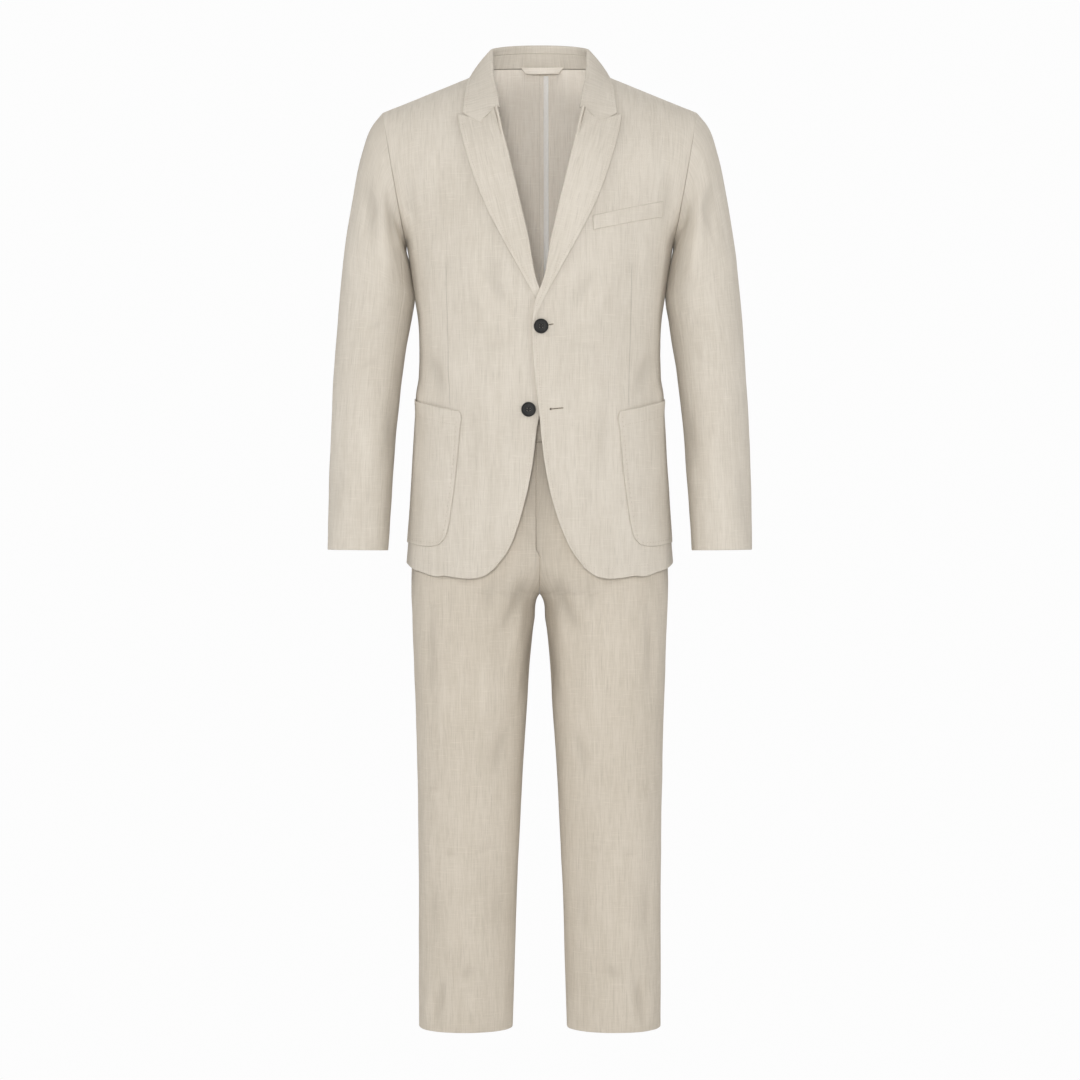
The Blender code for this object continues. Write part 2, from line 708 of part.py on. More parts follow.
def lapel_flat(foot_z, side):
    """Places of a lapel's grid across the front, from its foot up to its peak."""
    share = np.linspace(0, 1, LAPEL_ROWS + 1)
    inner_z = foot_z + (GORGE_TOP[1] - foot_z) * share
    outer_z = foot_z + (PEAK_TIP[1] - foot_z) * share
    inner_x = roll_x(inner_z)
    if side < 0:
        inner_x = np.where(inner_x > FRONT_CLEAR / 2, inner_x, FRONT_CLEAR - inner_x)
    outer_x = column(LAPEL_EDGE, LAPEL_EDGE_COLUMNS, "x", "z", outer_z)
    inner = np.stack((inner_x, inner_z), axis=-1)
    outer = np.stack((outer_x, outer_z), axis=-1)
    across = np.linspace(0, 1, LAPEL_COLUMNS + 1)
    grid = inner[:, None] + (outer - inner)[:, None] * across[None, :, None]
    notch = np.array(NOTCH)
    top = np.array((GORGE_TOP, NOTCH, PEAK_TIP))
    gorge = np.linalg.norm(notch - top[0])
    notch_share = gorge / (gorge + np.linalg.norm(top[2] - notch))
    bend = np.stack([np.interp(across, (0, notch_share, 1), top[:, axis]) for axis in (0, 1)], axis=-1)
    bend = bend - (top[0] + (top[2] - top[0]) * across[:, None])
    grid += bend[None] * (share**LAPEL_BEND_POWER)[:, None, None]
    grid[..., 1] -= GORGE_CLEAR * share[:, None]
    return grid


def build_lapels(tree, color):
    across = np.linspace(0, 1, LAPEL_COLUMNS + 1)
    roll = LAPEL_ROLL * 4 * across * (1 - across)
    for word, side, foot_z in (("left", 1.0, LAPEL_FOOT_Z), ("right", -1.0, RIGHT_LAPEL_FOOT_Z)):
        flat = lapel_flat(foot_z, side)
        width = np.linalg.norm(flat[:, -1] - flat[:, 0], axis=-1)
        low = LAY_LIFT + roll[None, :] * ease(width / LAPEL_ROLL_WIDTH)[:, None]
        outer, inner = lay_on_front(tree, flat, low, LAY_LIFT + WALL)
        if side > 0:
            lift = lap_lift(inner)[..., None] * np.array((0.0, -1.0, 0.0))
            outer = outer + lift
            inner = inner + lift
        turn = np.array((side, 1.0, 1.0))
        add_piece(f"lapel_{word}", wall_mesh(f"lapel_{word}", outer * turn, inner * turn), color)


def neck_line(share):
    """The neck seam, from the centre back to the top of the roll line."""
    share = np.asarray(share)
    back = back_neck(np.clip(share / SIDE_SHARE, 0, 1))
    seam = picked(NECK_EDGE[:1:-1], NECK_EDGE_COLUMNS, "x", "y", "z")
    front = along(seam, np.clip((share - SIDE_SHARE) / (1 - SIDE_SHARE), 0, 1))
    return np.where((share <= SIDE_SHARE)[:, None], back, front)


def collar_line(share, side_point, centre_point, front_points):
    """A line round the collar: a quarter of an ellipse at the back, then a curve to the front."""
    share = np.asarray(share)
    turn = np.clip(share / SIDE_SHARE, 0, 1) * math.pi / 2
    side_point = np.array(side_point)
    centre_point = np.array(centre_point)
    back = side_point + (centre_point - side_point) * np.cos(turn)[:, None]
    back[:, 0] = side_point[0] * np.sin(turn)
    forward = np.clip((share - SIDE_SHARE) / (1 - SIDE_SHARE), 0, 1)
    front = along(np.vstack((side_point, front_points)), forward)
    return np.where((share <= SIDE_SHARE)[:, None], back, front)


def both_sides(half_grid):
    """Join a left half, from the centre outwards, to its mirror image."""
    right = half_grid[:, :0:-1] * np.array((-1.0, 1.0, 1.0))
    return np.concatenate((right, half_grid), axis=1)


def build_collar_stand(color):
    share = np.linspace(0, 1, FALL_COLUMNS + 1)[:STAND_COLUMNS + 1]
    neck = neck_line(share)
    crest = collar_line(share, CREST_SIDE, CREST_CENTRE, CREST_FRONT)
    rise = (crest - neck) / np.linalg.norm(crest - neck, axis=-1, keepdims=True)
    foot = neck + rise * STAND_CLEAR
    top = neck + (crest - neck) * STAND_PART
    rows = [foot, (foot + top) / 2, top]
    grid = both_sides(np.array(rows))
    normals = grid_normals(grid)
    middle = normals[:, STAND_COLUMNS, 1].mean()
    normals *= np.sign(middle)
    outer, inner = wall_from(grid, normals, 0.0, -WALL)
    add_piece("collar_stand", wall_mesh("collar_stand", outer, inner), color)


def collar_fall_grid(columns=FALL_COLUMNS):
    """Inside of the fold, from the stand's top over the crest and down to the fall's edge."""
    share = np.linspace(0, 1, columns + 1)
    neck = neck_line(share)
    crest = collar_line(share, CREST_SIDE, CREST_CENTRE, CREST_FRONT)
    edge = collar_line(share, FALL_SIDE, FALL_CENTRE, FALL_FRONT)
    start = neck + (crest - neck) * (STAND_PART + FALL_GAP_PART)
    outwards = (edge - crest) * np.array((1.0, 1.0, 0.0))
    outwards /= np.linalg.norm(outwards, axis=-1, keepdims=True)
    rows = [start, crest]
    far_crest = crest + outwards * FOLD_WIDTH - np.array((0.0, 0.0, FOLD_DROP))
    front = np.array((GORGE_START, NOTCH_POINT, FALL_FRONT[-1]))
    turn = ease((share - NOTCH_FROM) / (1 - NOTCH_FROM))[:, None]
    for part in FALL_PARTS:
        row = far_crest + (edge - far_crest) * part + outwards * (FALL_ROUND * 4 * part * (1 - part))
        bend = np.array([np.interp(part, (0, NOTCH_PART, 1), front[:, axis]) for axis in range(3)])
        bend -= front[0] + (front[2] - front[0]) * part
        rows.append(row + bend * turn)
    return np.array(rows)


def push_clear(grid, tree, clearance):
    """Move the points that lie inside or near a surface out to a clearance from it."""
    grid = grid.copy()
    for index in np.ndindex(grid.shape[:2]):
        point = Vector(grid[index])
        near, normal, _, _ = tree.find_nearest(point)
        height = (point - near).dot(normal)
        if height < clearance:
            grid[index] = point + normal * (clearance - height)
    return grid


def build_collar_fall(tree, color):
    grid = collar_fall_grid()
    grid[3:] = push_clear(grid[3:], tree, LAY_LIFT)
    grid = both_sides(grid)
    normals = grid_normals(grid)
    normals *= np.sign(normals[-2, FALL_COLUMNS, 1])
    outer, inner = wall_from(grid, normals, WALL, 0.0)
    add_piece("collar_fall", wall_mesh("collar_fall", outer, inner), color)


def pocket_grid(rows=POCKET_ROWS, columns=POCKET_COLUMNS):
    """Angle and height of the patch pocket's grid, on the left front."""
    side_angle = math.radians(POCKET_SIDE_DEGREES)
    left = along(POCKET_INNER_EDGE, np.linspace(0, 1, rows + 1))
    left = np.stack((torso_angle(left[:, 0], left[:, 1]), left[:, 1]), axis=-1)
    bottom = along(POCKET_BOTTOM, np.linspace(0, 1, columns + 1))
    bottom = np.stack((torso_angle(bottom[:, 0], bottom[:, 1]), bottom[:, 1]), axis=-1)
    bottom[:, 0] += (side_angle - bottom[-1, 0]) * np.linspace(0, 1, columns + 1) ** 4
    side_z = np.linspace(bottom[-1, 1], POCKET_SIDE_TOP_Z, rows + 1)
    right = np.stack((np.full(rows + 1, side_angle), side_z), axis=-1)
    top = left[-1] + (right[-1] - left[-1]) * np.linspace(0, 1, columns + 1)[:, None]
    flat = patch_between(left, right, bottom, top)
    return torso(flat[..., 0], flat[..., 1], "front")


def build_pockets(color):
    grid = pocket_grid()
    inner, outer = wall_from(grid, grid_normals(grid), LAY_LIFT, LAY_LIFT + TRIM_WALL)
    for word, side in (("left", 1.0), ("right", -1.0)):
        turn = np.array((side, 1.0, 1.0))
        name = f"patch_pocket_{word}"
        add_piece(name, wall_mesh(name, outer * turn, inner * turn), color)


def build_breast_welt(tree, color):
    across = np.linspace(0, 1, WELT_COLUMNS + 1)[None, :, None]
    up = np.linspace(0, 1, 3)[:, None, None]
    low_in, low_out, high_in, high_out = (np.array(corner) for corner in WELT_CORNERS)
    low = low_in + (low_out - low_in) * across
    high = high_in + (high_out - high_in) * across
    outer, inner = lay_on_front(tree, low + (high - low) * up, LAY_LIFT, LAY_LIFT + TRIM_WALL)
    add_piece("breast_welt", wall_mesh("breast_welt", outer, inner), color)


def build_hanger_loop(color):
    """A strip across the inside of the back neck, sewn at its ends and bowed off in between."""
    rows = []
    for half_length, z in ((LOOP_BOTTOM_HALF, LOOP_BOTTOM_Z), (LOOP_TOP_HALF, LOOP_TOP_Z)):
        points = []
        for share in np.linspace(-1, 1, LOOP_COLUMNS + 1):
            x = LOOP_CENTRE_X + share * half_length
            slope = math.sqrt(1 - (x / SIDE_NECK[0]) ** 2)
            seam_y = SIDE_NECK[1] + (BACK_NECK[1] - SIDE_NECK[1]) * slope
            points.append((x, seam_y - (WALL + LOOP_LIFT) / slope - LOOP_BOW * (1 - share**2), z))
        rows.append(points)
    back = np.array(rows)
    front = back - np.array((0.0, TRIM_WALL, 0.0))
    add_piece("hanger_loop", wall_mesh("hanger_loop", back, front), color)


def build_seam_tape(back_tree, color):
    """The bound edge of the centre back seam, pressed to the wearer's left inside the back."""
    rows = []
    for z in np.linspace(HEM_BACK_Z + TAPE_END_CLEAR, TAPE_TOP_Z, TAPE_ROWS + 1):
        points = []
        for x in (TAPE_INNER_X, TAPE_OUTER_X):
            hit, normal, _, _ = back_tree.ray_cast(Vector((x, 0.0, z)), Vector((0, 1, 0)))
            points.append(hit - normal * (WALL + LAY_LIFT))
        rows.append(points)
    grid = np.array(rows)
    normals = -grid_normals(grid)
    outer, inner = wall_from(grid, normals, 0.0, -TRIM_WALL)
    add_piece("back_seam_tape", wall_mesh("back_seam_tape", outer, inner), color)


def button_mesh(name, centre):
    """A round button with a raised rim and four holes, its face towards the front."""
    profile = [(radius * BUTTON_RADIUS, depth) for radius, depth in BUTTON_PROFILE]
    work = bmesh.new()
    rings = []
    for radius, depth in profile:
        turns = np.linspace(0, 2 * math.pi, BUTTON_SIDES, endpoint=False)
        rings.append([work.verts.new((radius * math.cos(t), -depth, radius * math.sin(t))) for t in turns])
    for first, second in zip(rings, rings[1:]):
        for place in range(BUTTON_SIDES):
            after = (place + 1) % BUTTON_SIDES
            work.faces.new((first[place], first[after], second[after], second[place]))
    work.faces.new(rings[0])
    work.faces.new(rings[-1][::-1])
    bmesh.ops.recalc_face_normals(work, faces=work.faces)
    bmesh.ops.scale(work, vec=(MM, MM, MM), verts=work.verts)
    bmesh.ops.translate(work, vec=Vector(centre) * MM, verts=work.verts)
    mesh = bpy.data.meshes.new(name)
    work.to_mesh(mesh)
    work.free()
    turn_outwards(mesh)
    return mesh


def hole_cutter(name, centre):
    work = bmesh.new()
    for across in (-1, 1):
        for up in (-1, 1):
            made = bmesh.ops.create_cone(
                work, cap_ends=True, segments=HOLE_SIDES, depth=HOLE_CUT_DEPTH * MM,
                radius1=HOLE_RADIUS * MM, radius2=HOLE_RADIUS * MM,
            )
            for vert in made["verts"]:
                vert.co = Vector((vert.co.x, -vert.co.z, vert.co.y))
                vert.co += Vector((across * HOLE_SPACING / 2, 0, up * HOLE_SPACING / 2)) * MM
                vert.co += Vector(centre) * MM
    mesh = bpy.data.meshes.new(name + "_holes")
    work.to_mesh(mesh)
    work.free()
    turn_outwards(mesh)
    cutter = bpy.data.objects.new(name + "_holes", mesh)
    bpy.context.scene.collection.objects.link(cutter)
    cutter.hide_render = True
    cutter.display_type = "WIRE"
    return cutter


def build_buttons(tree, color):
    for name, (x, z), lift in (("button_top", TOP_BUTTON, LAP_LIFT), ("button_lower", LOWER_BUTTON, 0.0)):
        point, _ = on_front(tree, abs(x), z)
        centre = (x, point[1] - lift - BUTTON_LIFT, z)
        button = add_piece(name, button_mesh(name, centre), color, BUTTON_ROUGHNESS)
        cut = button.modifiers.new("holes", "BOOLEAN")
        cut.operation = "DIFFERENCE"
        cut.object = hole_cutter(name, centre)


LINEN = (0.66, 0.60, 0.52)
TAPE_WHITE = (0.74, 0.72, 0.69)
BUTTON_BLACK = (0.02, 0.02, 0.02)

clear_scene()
build_fronts(LINEN)
build_backs(LINEN)
build_sleeves(LINEN)
build_trousers(LINEN)
build_waistband(LINEN)
fine_front = front_grid(FINE_COLUMNS, FINE_ROWS, FINE_ROWS)
fine_back = back_grid(FINE_COLUMNS, FINE_ROWS, FINE_ROWS)
front_tree = surface_tree([(fine_front, 1.0), (front_grid(), 1.0)])
back_tree = surface_tree([(fine_back, -1.0), (back_grid(), -1.0)])
body_tree = surface_tree([(fine_front, 1.0), (fine_back, -1.0)])
build_lapels(front_tree, LINEN)
build_collar_stand(LINEN)
build_collar_fall(body_tree, LINEN)
build_pockets(LINEN)
build_breast_welt(front_tree, LINEN)
build_hanger_loop(LINEN)
build_seam_tape(back_tree, TAPE_WHITE)
build_buttons(front_tree, BUTTON_BLACK)
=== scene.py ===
# Looks of the linen suit: fine cloth on the solids' own surfaces, the sewing, the buttons and the linen.
# X runs to the wearer's left, the front faces -Y, Z is up. Sizes are millimetres until a mesh is made.
import math

import bmesh
import bpy
import numpy as np
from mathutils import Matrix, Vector
from mathutils.bvhtree import BVHTree


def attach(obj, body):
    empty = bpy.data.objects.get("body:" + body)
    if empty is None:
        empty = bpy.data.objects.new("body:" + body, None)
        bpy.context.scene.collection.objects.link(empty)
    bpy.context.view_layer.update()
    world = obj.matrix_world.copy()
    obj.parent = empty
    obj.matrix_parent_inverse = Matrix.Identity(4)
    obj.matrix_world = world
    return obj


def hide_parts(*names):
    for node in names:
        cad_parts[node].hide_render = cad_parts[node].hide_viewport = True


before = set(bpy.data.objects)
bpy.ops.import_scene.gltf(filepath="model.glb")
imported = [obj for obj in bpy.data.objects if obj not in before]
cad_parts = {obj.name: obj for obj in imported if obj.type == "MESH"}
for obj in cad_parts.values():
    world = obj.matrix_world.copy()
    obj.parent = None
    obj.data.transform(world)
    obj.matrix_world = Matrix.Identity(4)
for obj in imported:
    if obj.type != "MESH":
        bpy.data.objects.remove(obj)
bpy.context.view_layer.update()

MM = 0.001

# Camera, as far back and as high as the photo's
CAMERA_PLACE = (0.0003, -4.2, -0.696)
CAMERA_LENS = 93.33
CAMERA_SENSOR = 36.0

# Cloth
SHELL = 1.3
FINE_STEP = 4.0
TRIM_STEP = 2.4
EDGE_RINGS = (0.8, 2.2)
SEAM_DIPS = (0.95, 0.4, 0.05)
ARMHOLE_DIPS = (0.24, 0.08, 0.0)
FOLD_DIPS = (0.4, 0.1, 0.0)
EDGE_BULGE = 0.42
FOLD_GAIN = 1.7
# Fold depth at which the painted shade in fold hollows and the painted highlight on fold crests reach full
# strength
CREASE_DEEP = 4.5
# Painted shade along the free edges of trims, given as a fold shift below 0
EDGE_PAINTED_SHADE = 4.0
PRESSED_WALL = 1.2
LAY_HEIGHT = 0.9

# Body of the jacket
SEAM_GAP = 0.3
BODY_SQUARENESS = 2.35
SIDE_SEAM_Y = 10.0
UNDERARM_Z = -255.0
HEM_SIDE_Z = -730.0
HEM_BACK_Z = -737.0
HEM_CORNER = (65.7, -737.0)
CHEST_FULLNESS = 2.0
BACK_FULLNESS = 1.5
LAP_LIFT = 2.6
LAP_WIDTH = 52.0
LAP_FADE = 36.0
EDGE_CURL = 1.6
CROSSING_Z = -334.0
CROSSING_RISE = 22.0
CROSSING_FADE = 26.0
BODY_HEIGHT = 480.0
CHEST_HEIGHT = 270.0
FRONT_WIDTH = 250.0
BACK_WIDTH = 265.0
BACK_NECK_SHARE = 0.4

TORSO_COLUMNS = ("z", "half_width", "front", "back")
TORSO = (
    (-760, 203.0, 135, 131),
    (-696, 198.0, 133, 130),
    (-640, 194.0, 131, 128),
    (-573, 189.5, 128, 122),
    (-520, 186.5, 125, 112),
    (-470, 182.5, 122, 104),
    (-430, 181.3, 122, 101),
    (-366, 183.0, 125, 105),
    (-331, 188.0, 127, 111),
    (-297, 193.0, 128, 117),
    (-255, 200.0, 127, 122),
)
EDGE_COLUMNS = ("z", "x")
FRONT_EDGE = (
    (-737, 65.7),
    (-714, 48.3),
    (-676, 30.7),
    (-637, 18.2),
    (-589, 8.2),
    (-551, 3.2),
    (-511, -0.6),
    (-450, -7.7),
    (-409, -10.8),
    (-383, -11.4),
    (-346, -5.0),
    (-324, 4.1),
    (-255, 18.2),
)
FRONT_HEM_COLUMNS = ("x", "z")
FRONT_HEM = (
    (65.7, -737.0),
    (80.8, -748.0),
    (98.0, -752.0),
    (121.0, -751.0),
    (142.0, -748.3),
    (152.6, -749.2),
    (174.0, -743.0),
    (191.0, -737.0),
    (200.0, HEM_SIDE_Z),
)
FREE_EDGE_DRAW = 3.2
FREE_EDGE_WIDTH = 60.0
FREE_EDGE_TOP_Z = -500.0
FREE_EDGE_TOP_FADE = 40.0
FREE_EDGE_BOTTOM_Z = -720.0
FREE_EDGE_BOTTOM_FADE = 90.0
CURL_WIDTH = 16.0
CURL_FADE = 20.0
FRONT_GRAIN_X = 110.0
NECK_EDGE_COLUMNS = ("x", "y", "z")
NECK_EDGE = (
    (37.7, -114.0, -171),
    (53.5, -93.0, -103),
    (64.0, -66.0, -58),
    (70.0, -45.0, -29),
    (76.0, -14.0, 0),
    (80.0, 8.0, 10),
)
SIDE_NECK = np.array((80.0, 8.0, 10.0))
BACK_NECK = np.array((0.0, 72.0, 21.7))
CENTRE_BACK_COLUMNS = ("y", "z")
CENTRE_BACK = (
    (121.0, -205),
    (118.5, -155),
    (112.0, -100),
    (99.0, -50),
    (82.0, -5),
    (72.0, 21.7),
)

# Armhole and sleeve
ARMHOLE_CENTRE = np.array((217.5, 7.0, -155.0))
ARMHOLE_AXIS = np.array((17.5, -3.0, 100.0))
ARMHOLE_HALF_DEPTH = 67.0
SLEEVE_HEAD = (235.0, -55.0, 200.0, UNDERARM_Z, 7.0, ARMHOLE_HALF_DEPTH)
SLEEVE_COLUMNS = ("outer_x", "outer_z", "inner_x", "inner_z", "y_centre", "half_depth")
SLEEVE = (
    (252.0, -76, 199.9, -263, 7, 65),
    (267.0, -117, 196.8, -275, 6, 67),
    (281.0, -186, 193.3, -292, 5, 68),
    (290.0, -240, 190.5, -310, 4, 68),
    (297.0, -300, 187.9, -333, 3, 67),
    (303.0, -366, 193.8, -372, 0, 64),
    (308.4, -443, 205.0, -443, -3, 60),
    (312.0, -521, 213.0, -521, -10, 57),
    (315.0, -624, 220.5, -624, -24, 52.5),
    (315.6, -710, 225.8, -711, -36, 49),
)
SLEEVE_LENGTH = 600.0
SLEEVE_GIRTH = 380.0
SLEEVE_OUTSET = 0.3
SLEEVE_HEAD_REACH = 50.0
HINDARM_DEGREES = -62.0
FOREARM_DEGREES = 138.0
SLEEVE_GRAIN_DEGREES = 60.0

# Trousers
TROUSER_COLUMNS = ("z", "outer", "inner", "front", "back")
TROUSERS = (
    (-552, 158.0, -158.0, 96.0, 93),
    (-584, 164.0, -164.0, 99.0, 98),
    (-640, 178.0, -150.0, 108.0, 106),
    (-700, 189.0, -96.0, 113.0, 113),
    (-740, 192.0, -50.0, 112.0, 114),
    (-775, 192.0, -1.0, 106.0, 112),
    (-816, 190.5, 8.3, 98.0, 106),
    (-861, 189.0, 13.5, 94.0, 101),
    (-951, 186.0, 19.5, 86.0, 93),
    (-1041, 183.5, 25.5, 79.0, 87),
    (-1131, 182.0, 30.0, 73.0, 83),
    (-1221, 181.3, 34.5, 69.0, 80),
    (-1311, 181.3, 37.0, 66.5, 78),
    (-1424, 181.0, 40.5, 65.0, 75),
)
TROUSER_SQUARENESS = 2.15
FLY_LAP = 5.9
FLY_END_Z = -722.0
FLY_CURVE = 14.0
CROTCH_Z = -776.0
INSEAM_START_X = 1.0
BAND_TOP_Z = -514.0
BAND_BOTTOM_Z = -552.0
BAND_HALF_WIDTH = 157.6
BAND_FRONT = 95.6
BAND_BACK = 92.6
TROUSER_LENGTH = 872.0
TROUSER_PANEL_WIDTH = 230.0
LEG_GRAIN_X = 108.0

# Lapels, as places across the front
LAPEL_FOOT_Z = -376.0
RIGHT_LAPEL_FOOT_Z = -343.0
FRONT_CLEAR = 0.9
GORGE_TOP = (64.0, -58.0)
NOTCH = (86.9, -79.0)
PEAK_TIP = (120.5, -67.5)
GORGE_LAP = -0.9
NOTCH_GAP = 1.2
LAPEL_LAYS_AT = 1.2
LAPEL_ROLL = 2.4
LAPEL_ROLL_WIDTH = 60.0
LAPEL_EDGE_LIFT = 2.0
LAPEL_BEND_POWER = 6
LAPEL_LENGTH = 330.0
LAPEL_WIDTH = 90.0
ROLL_BELOW_FOOT = 12.0
LAPEL_FOOT_PUSH = 0.35
ROLL_OUT_REACH = 45.0
ROLL_OUT_WIDTH = 18.0
LIE_WIDTH = 20.0
ROLL_CLOSES_OVER = 70.0
EDGE_LIFT_FROM = 6.0
EDGE_LIFT_WIDTH = 30.0
ROLL_BEND_FROM = 4.0
ROLL_BEND_WIDTH = 22.0
ROLL_STEPS = 7
ROLL_OUT_AT_GORGE = 2.0
LAPEL_EDGE_COLUMNS = ("z", "x")
LAPEL_EDGE = (
    (-376, -8.8),
    (-357, 0.0),
    (-300, 30.7),
    (-255, 55.3),
    (-201, 82.0),
    (-136, 104.8),
    (-85, 118.0),
    (-67.5, 120.5),
)

# Collar, by shares of the way from the centre back to the gorge
SIDE_SHARE = 0.4
STAND_PART = 0.66
STAND_CLEAR = 0.8
FALL_GAP_PART = 0.01
CREST_CENTRE = (0.0, 71.0, 57.5)
CREST_SIDE = (71.0, 10.0, 40.0)
CREST_FRONT = ((68.8, -25.0, -2.0), (63.6, -51.0, -30.0), (59.6, -69.8, -57.0))
FALL_CENTRE = (0.0, 82.0, 12.5)
FALL_SIDE = (102.5, 12.0, 3.0)
FALL_FRONT = ((107.5, -14.0, -14.0), (111.5, -42.0, -39.0), (114.5, -66.0, -63.0))
GORGE_START = (62.0, -69.0, -57.5)
NOTCH_POINT = (86.9, -80.0, -78.5)
NOTCH_PART = 0.47
NOTCH_FROM = 0.72
STAND_END = 12 / 14
FOLD_WIDTH = 3.2
FOLD_DROP = 1.0
FALL_ROUND = 2.0
GORGE_FLUSH_FROM = 0.8
COLLAR_LENGTH = 215.0

# Patch pocket, breast welt, loop and tape
POCKET_INNER_EDGE = (
    (146.0, -702.0),
    (138.5, -693.0),
    (133.3, -676.0),
    (129.5, -651.0),
    (123.0, -601.0),
    (117.0, -535.0),
    (115.5, -512.0),
    (117.5, -507.5),
)
POCKET_BOTTOM = ((146.0, -702.0), (154.0, -704.5), (172.0, -704.5), (190.0, -699.0))
POCKET_SIDE_DEGREES = 84.0
POCKET_SIDE_TOP_Z = -485.0
POCKET_WIDTH = 130.0
POCKET_GRAIN_X = 150.0
POCKET_GAPE = 1.4
POCKET_FULLNESS = 1.3
POCKET_GROOVE = 0.25
POCKET_PUCKER = 0.5
POCKET_WALL = 1.1
WELT_GRAIN_X = 130.0
POCKET_HEIGHT = 205.0
WELT_CORNERS = ((78.2, -243.6), (180.7, -219.5), (77.3, -222.8), (181.9, -196.9))
WELT_WIDTH = 105.0
WELT_HEIGHT = 22.0
LOOP_CENTRE_X = 3.6
LOOP_TOP_HALF = 32.0
LOOP_BOTTOM_HALF = 24.8
LOOP_TOP_Z = 23.4
LOOP_BOTTOM_Z = 13.6
LOOP_LIFT = 0.9
LOOP_BOW = 7.0
TAPE_INNER_X = 6.1
TAPE_OUTER_X = 13.6
TAPE_TOP_Z = 12.5
TAPE_END_CLEAR = 3.0
TAPE_FREE_LIFT = 2.2

# Buttons and where the front is seen from
BUTTON_RADIUS = 10.7
BUTTON_THICK = 3.3
BUTTON_LIFT = 0.8
TOP_BUTTON = (1.9, -384.8)
LOWER_BUTTON = (-16.4, -505.8)
VIEW_Y = -400.0
CHEST_Y = -100.0
HOLE_RADIUS = 0.95
HOLE_SPACING = 3.4
PICK_INSET = 6.0
POCKET_STITCH = 7.0

# Stitches: their inset from the edge, and then their pitch, length, radius and sink
POCKET_HEM = 22.0
JACKET_HEM = 16.0
TROUSER_HEM = 25.0
FLY_STITCH_INSET = 1.2
POCKET_PICK = (POCKET_STITCH, 2.4, 0.34, 0.08)
POCKET_HEM_STITCH = (4.0, 1.9, 0.26, 0.1)
FRONT_PICK = (4.2, 1.7, 0.26, 0.1)
LAPEL_PICK = (4.2, 1.7, 0.26, 0.06)
JACKET_HEM_STITCH = (5.5, 1.5, 0.24, 0.1)
TROUSER_HEM_STITCH = (5.0, 1.6, 0.26, 0.1)
FLY_STITCH = (3.2, 2.2, 0.24, 0.12)

# Darts of the fronts, as lines on the cut: width and height at the foot and at the head, in metres
FRONT_DARTS = ((0.1331, -0.505, 0.1395, -0.285), (2.8652, 2.225, 2.8725, 2.445))

# Stage
FLOOR_Z = -1.58
BACKDROP_WHITE = 0.98
WORLD_STRENGTH = 0.4
LIGHTS = (
    ("key", (-0.2, -5.0, 0.1), 1.0, 101.0, (1.0, 0.99, 0.98)),
    ("left_side", (-4.0, -2.0, 1.7), 1.8, 62.0, (1.0, 0.99, 0.98)),
    ("right_side", (4.0, -2.0, 1.5), 1.8, 56.0, (1.0, 0.99, 0.98)),
    ("behind", (0.6, 4.6, 3.4), 2.4, 95.0, (1.0, 0.99, 0.98)),
)

# Folds, placed across the front view: x and z of one end and of the other, half width, depth and bow;
# a depth below 0 is a trough
FRONT_FOLDS = (
    (176, -405, 142, -500, 15, -2.3, -6),
    (186, -455, 168, -520, 12, 2.2, 0),
    (148, -243, 152, -300, 9, 1.5, 3),
    (128, -262, 133, -330, 12, -1.3, 4),
    (96, -290, 46, -372, 13, -1.5, -7),
    (118, -300, 70, -395, 14, 1.3, -8),
    (24, -392, 96, -374, 10, 0.9, 3),
    (22, -400, 110, -420, 13, -1.1, -4),
    (60, -430, 74, -560, 15, 1.0, 8),
    (98, -470, 104, -640, 16, -1.1, -7),
    (44, -560, 82, -700, 15, -1.0, 8),
    (176, -600, 188, -726, 12, -1.6, 0),
    (188, -140, 176, -250, 12, -1.6, 7),
    (150, -95, 168, -190, 17, 1.0, 6),
    (100, -110, 112, -190, 16, -0.8, 5),
)
RIGHT_FRONT_FOLDS = (
    (90, -262, 50, -350, 13, -1.6, -8),
    (70, -300, 30, -362, 10, 1.1, -4),
    (124, -420, 130, -480, 12, 1.0, 3),
    (40, -470, 52, -600, 16, -0.9, -8),
)
BACK_FOLDS = (
    (150, -120, 172, -232, 16, -2.0, 9),
    (118, -150, 150, -290, 18, 1.3, 12),
    (186, -300, 120, -372, 14, -1.6, -9),
    (180, -372, 96, -420, 13, -1.9, 7),
    (150, -440, 60, -398, 15, 1.2, 7),
    (40, -90, 96, -64, 12, -1.2, 5),
    (70, -520, 84, -700, 19, -1.3, 9),
    (140, -500, 158, -690, 18, 1.4, -8),
    (182, -560, 192, -720, 12, -1.5, 0),
)
SLEEVE_FRONT_FOLDS = (
    (262, -152, 254, -262, 12, -3.4, -9),
    (246, -206, 228, -330, 13, 2.4, -7),
    (233, -180, 215, -262, 10, -2.0, -5),
    (281, -250, 272, -330, 12, 1.3, 4),
    (222, -372, 262, -398, 9, -1.5, 5),
    (236, -400, 290, -388, 9, 1.0, 4),
    (228, -428, 276, -452, 8, -1.3, 4),
    (222, -470, 232, -600, 12, -1.9, -5),
    (246, -500, 252, -640, 14, 1.2, 6),
    (292, -560, 300, -690, 13, -1.3, 5),
    (240, -640, 268, -700, 12, -0.9, 4),
)
SLEEVE_BACK_FOLDS = (
    (250, -150, 236, -268, 14, -2.6, 8),
    (262, -240, 226, -330, 13, 1.8, 6),
    (216, -356, 284, -338, 11, -2.2, -6),
    (214, -392, 294, -398, 11, -2.6, -5),
    (222, -440, 290, -462, 11, -1.8, 6),
    (250, -500, 262, -640, 15, 1.3, -6),
    (290, -520, 298, -660, 13, -1.2, 4),
)
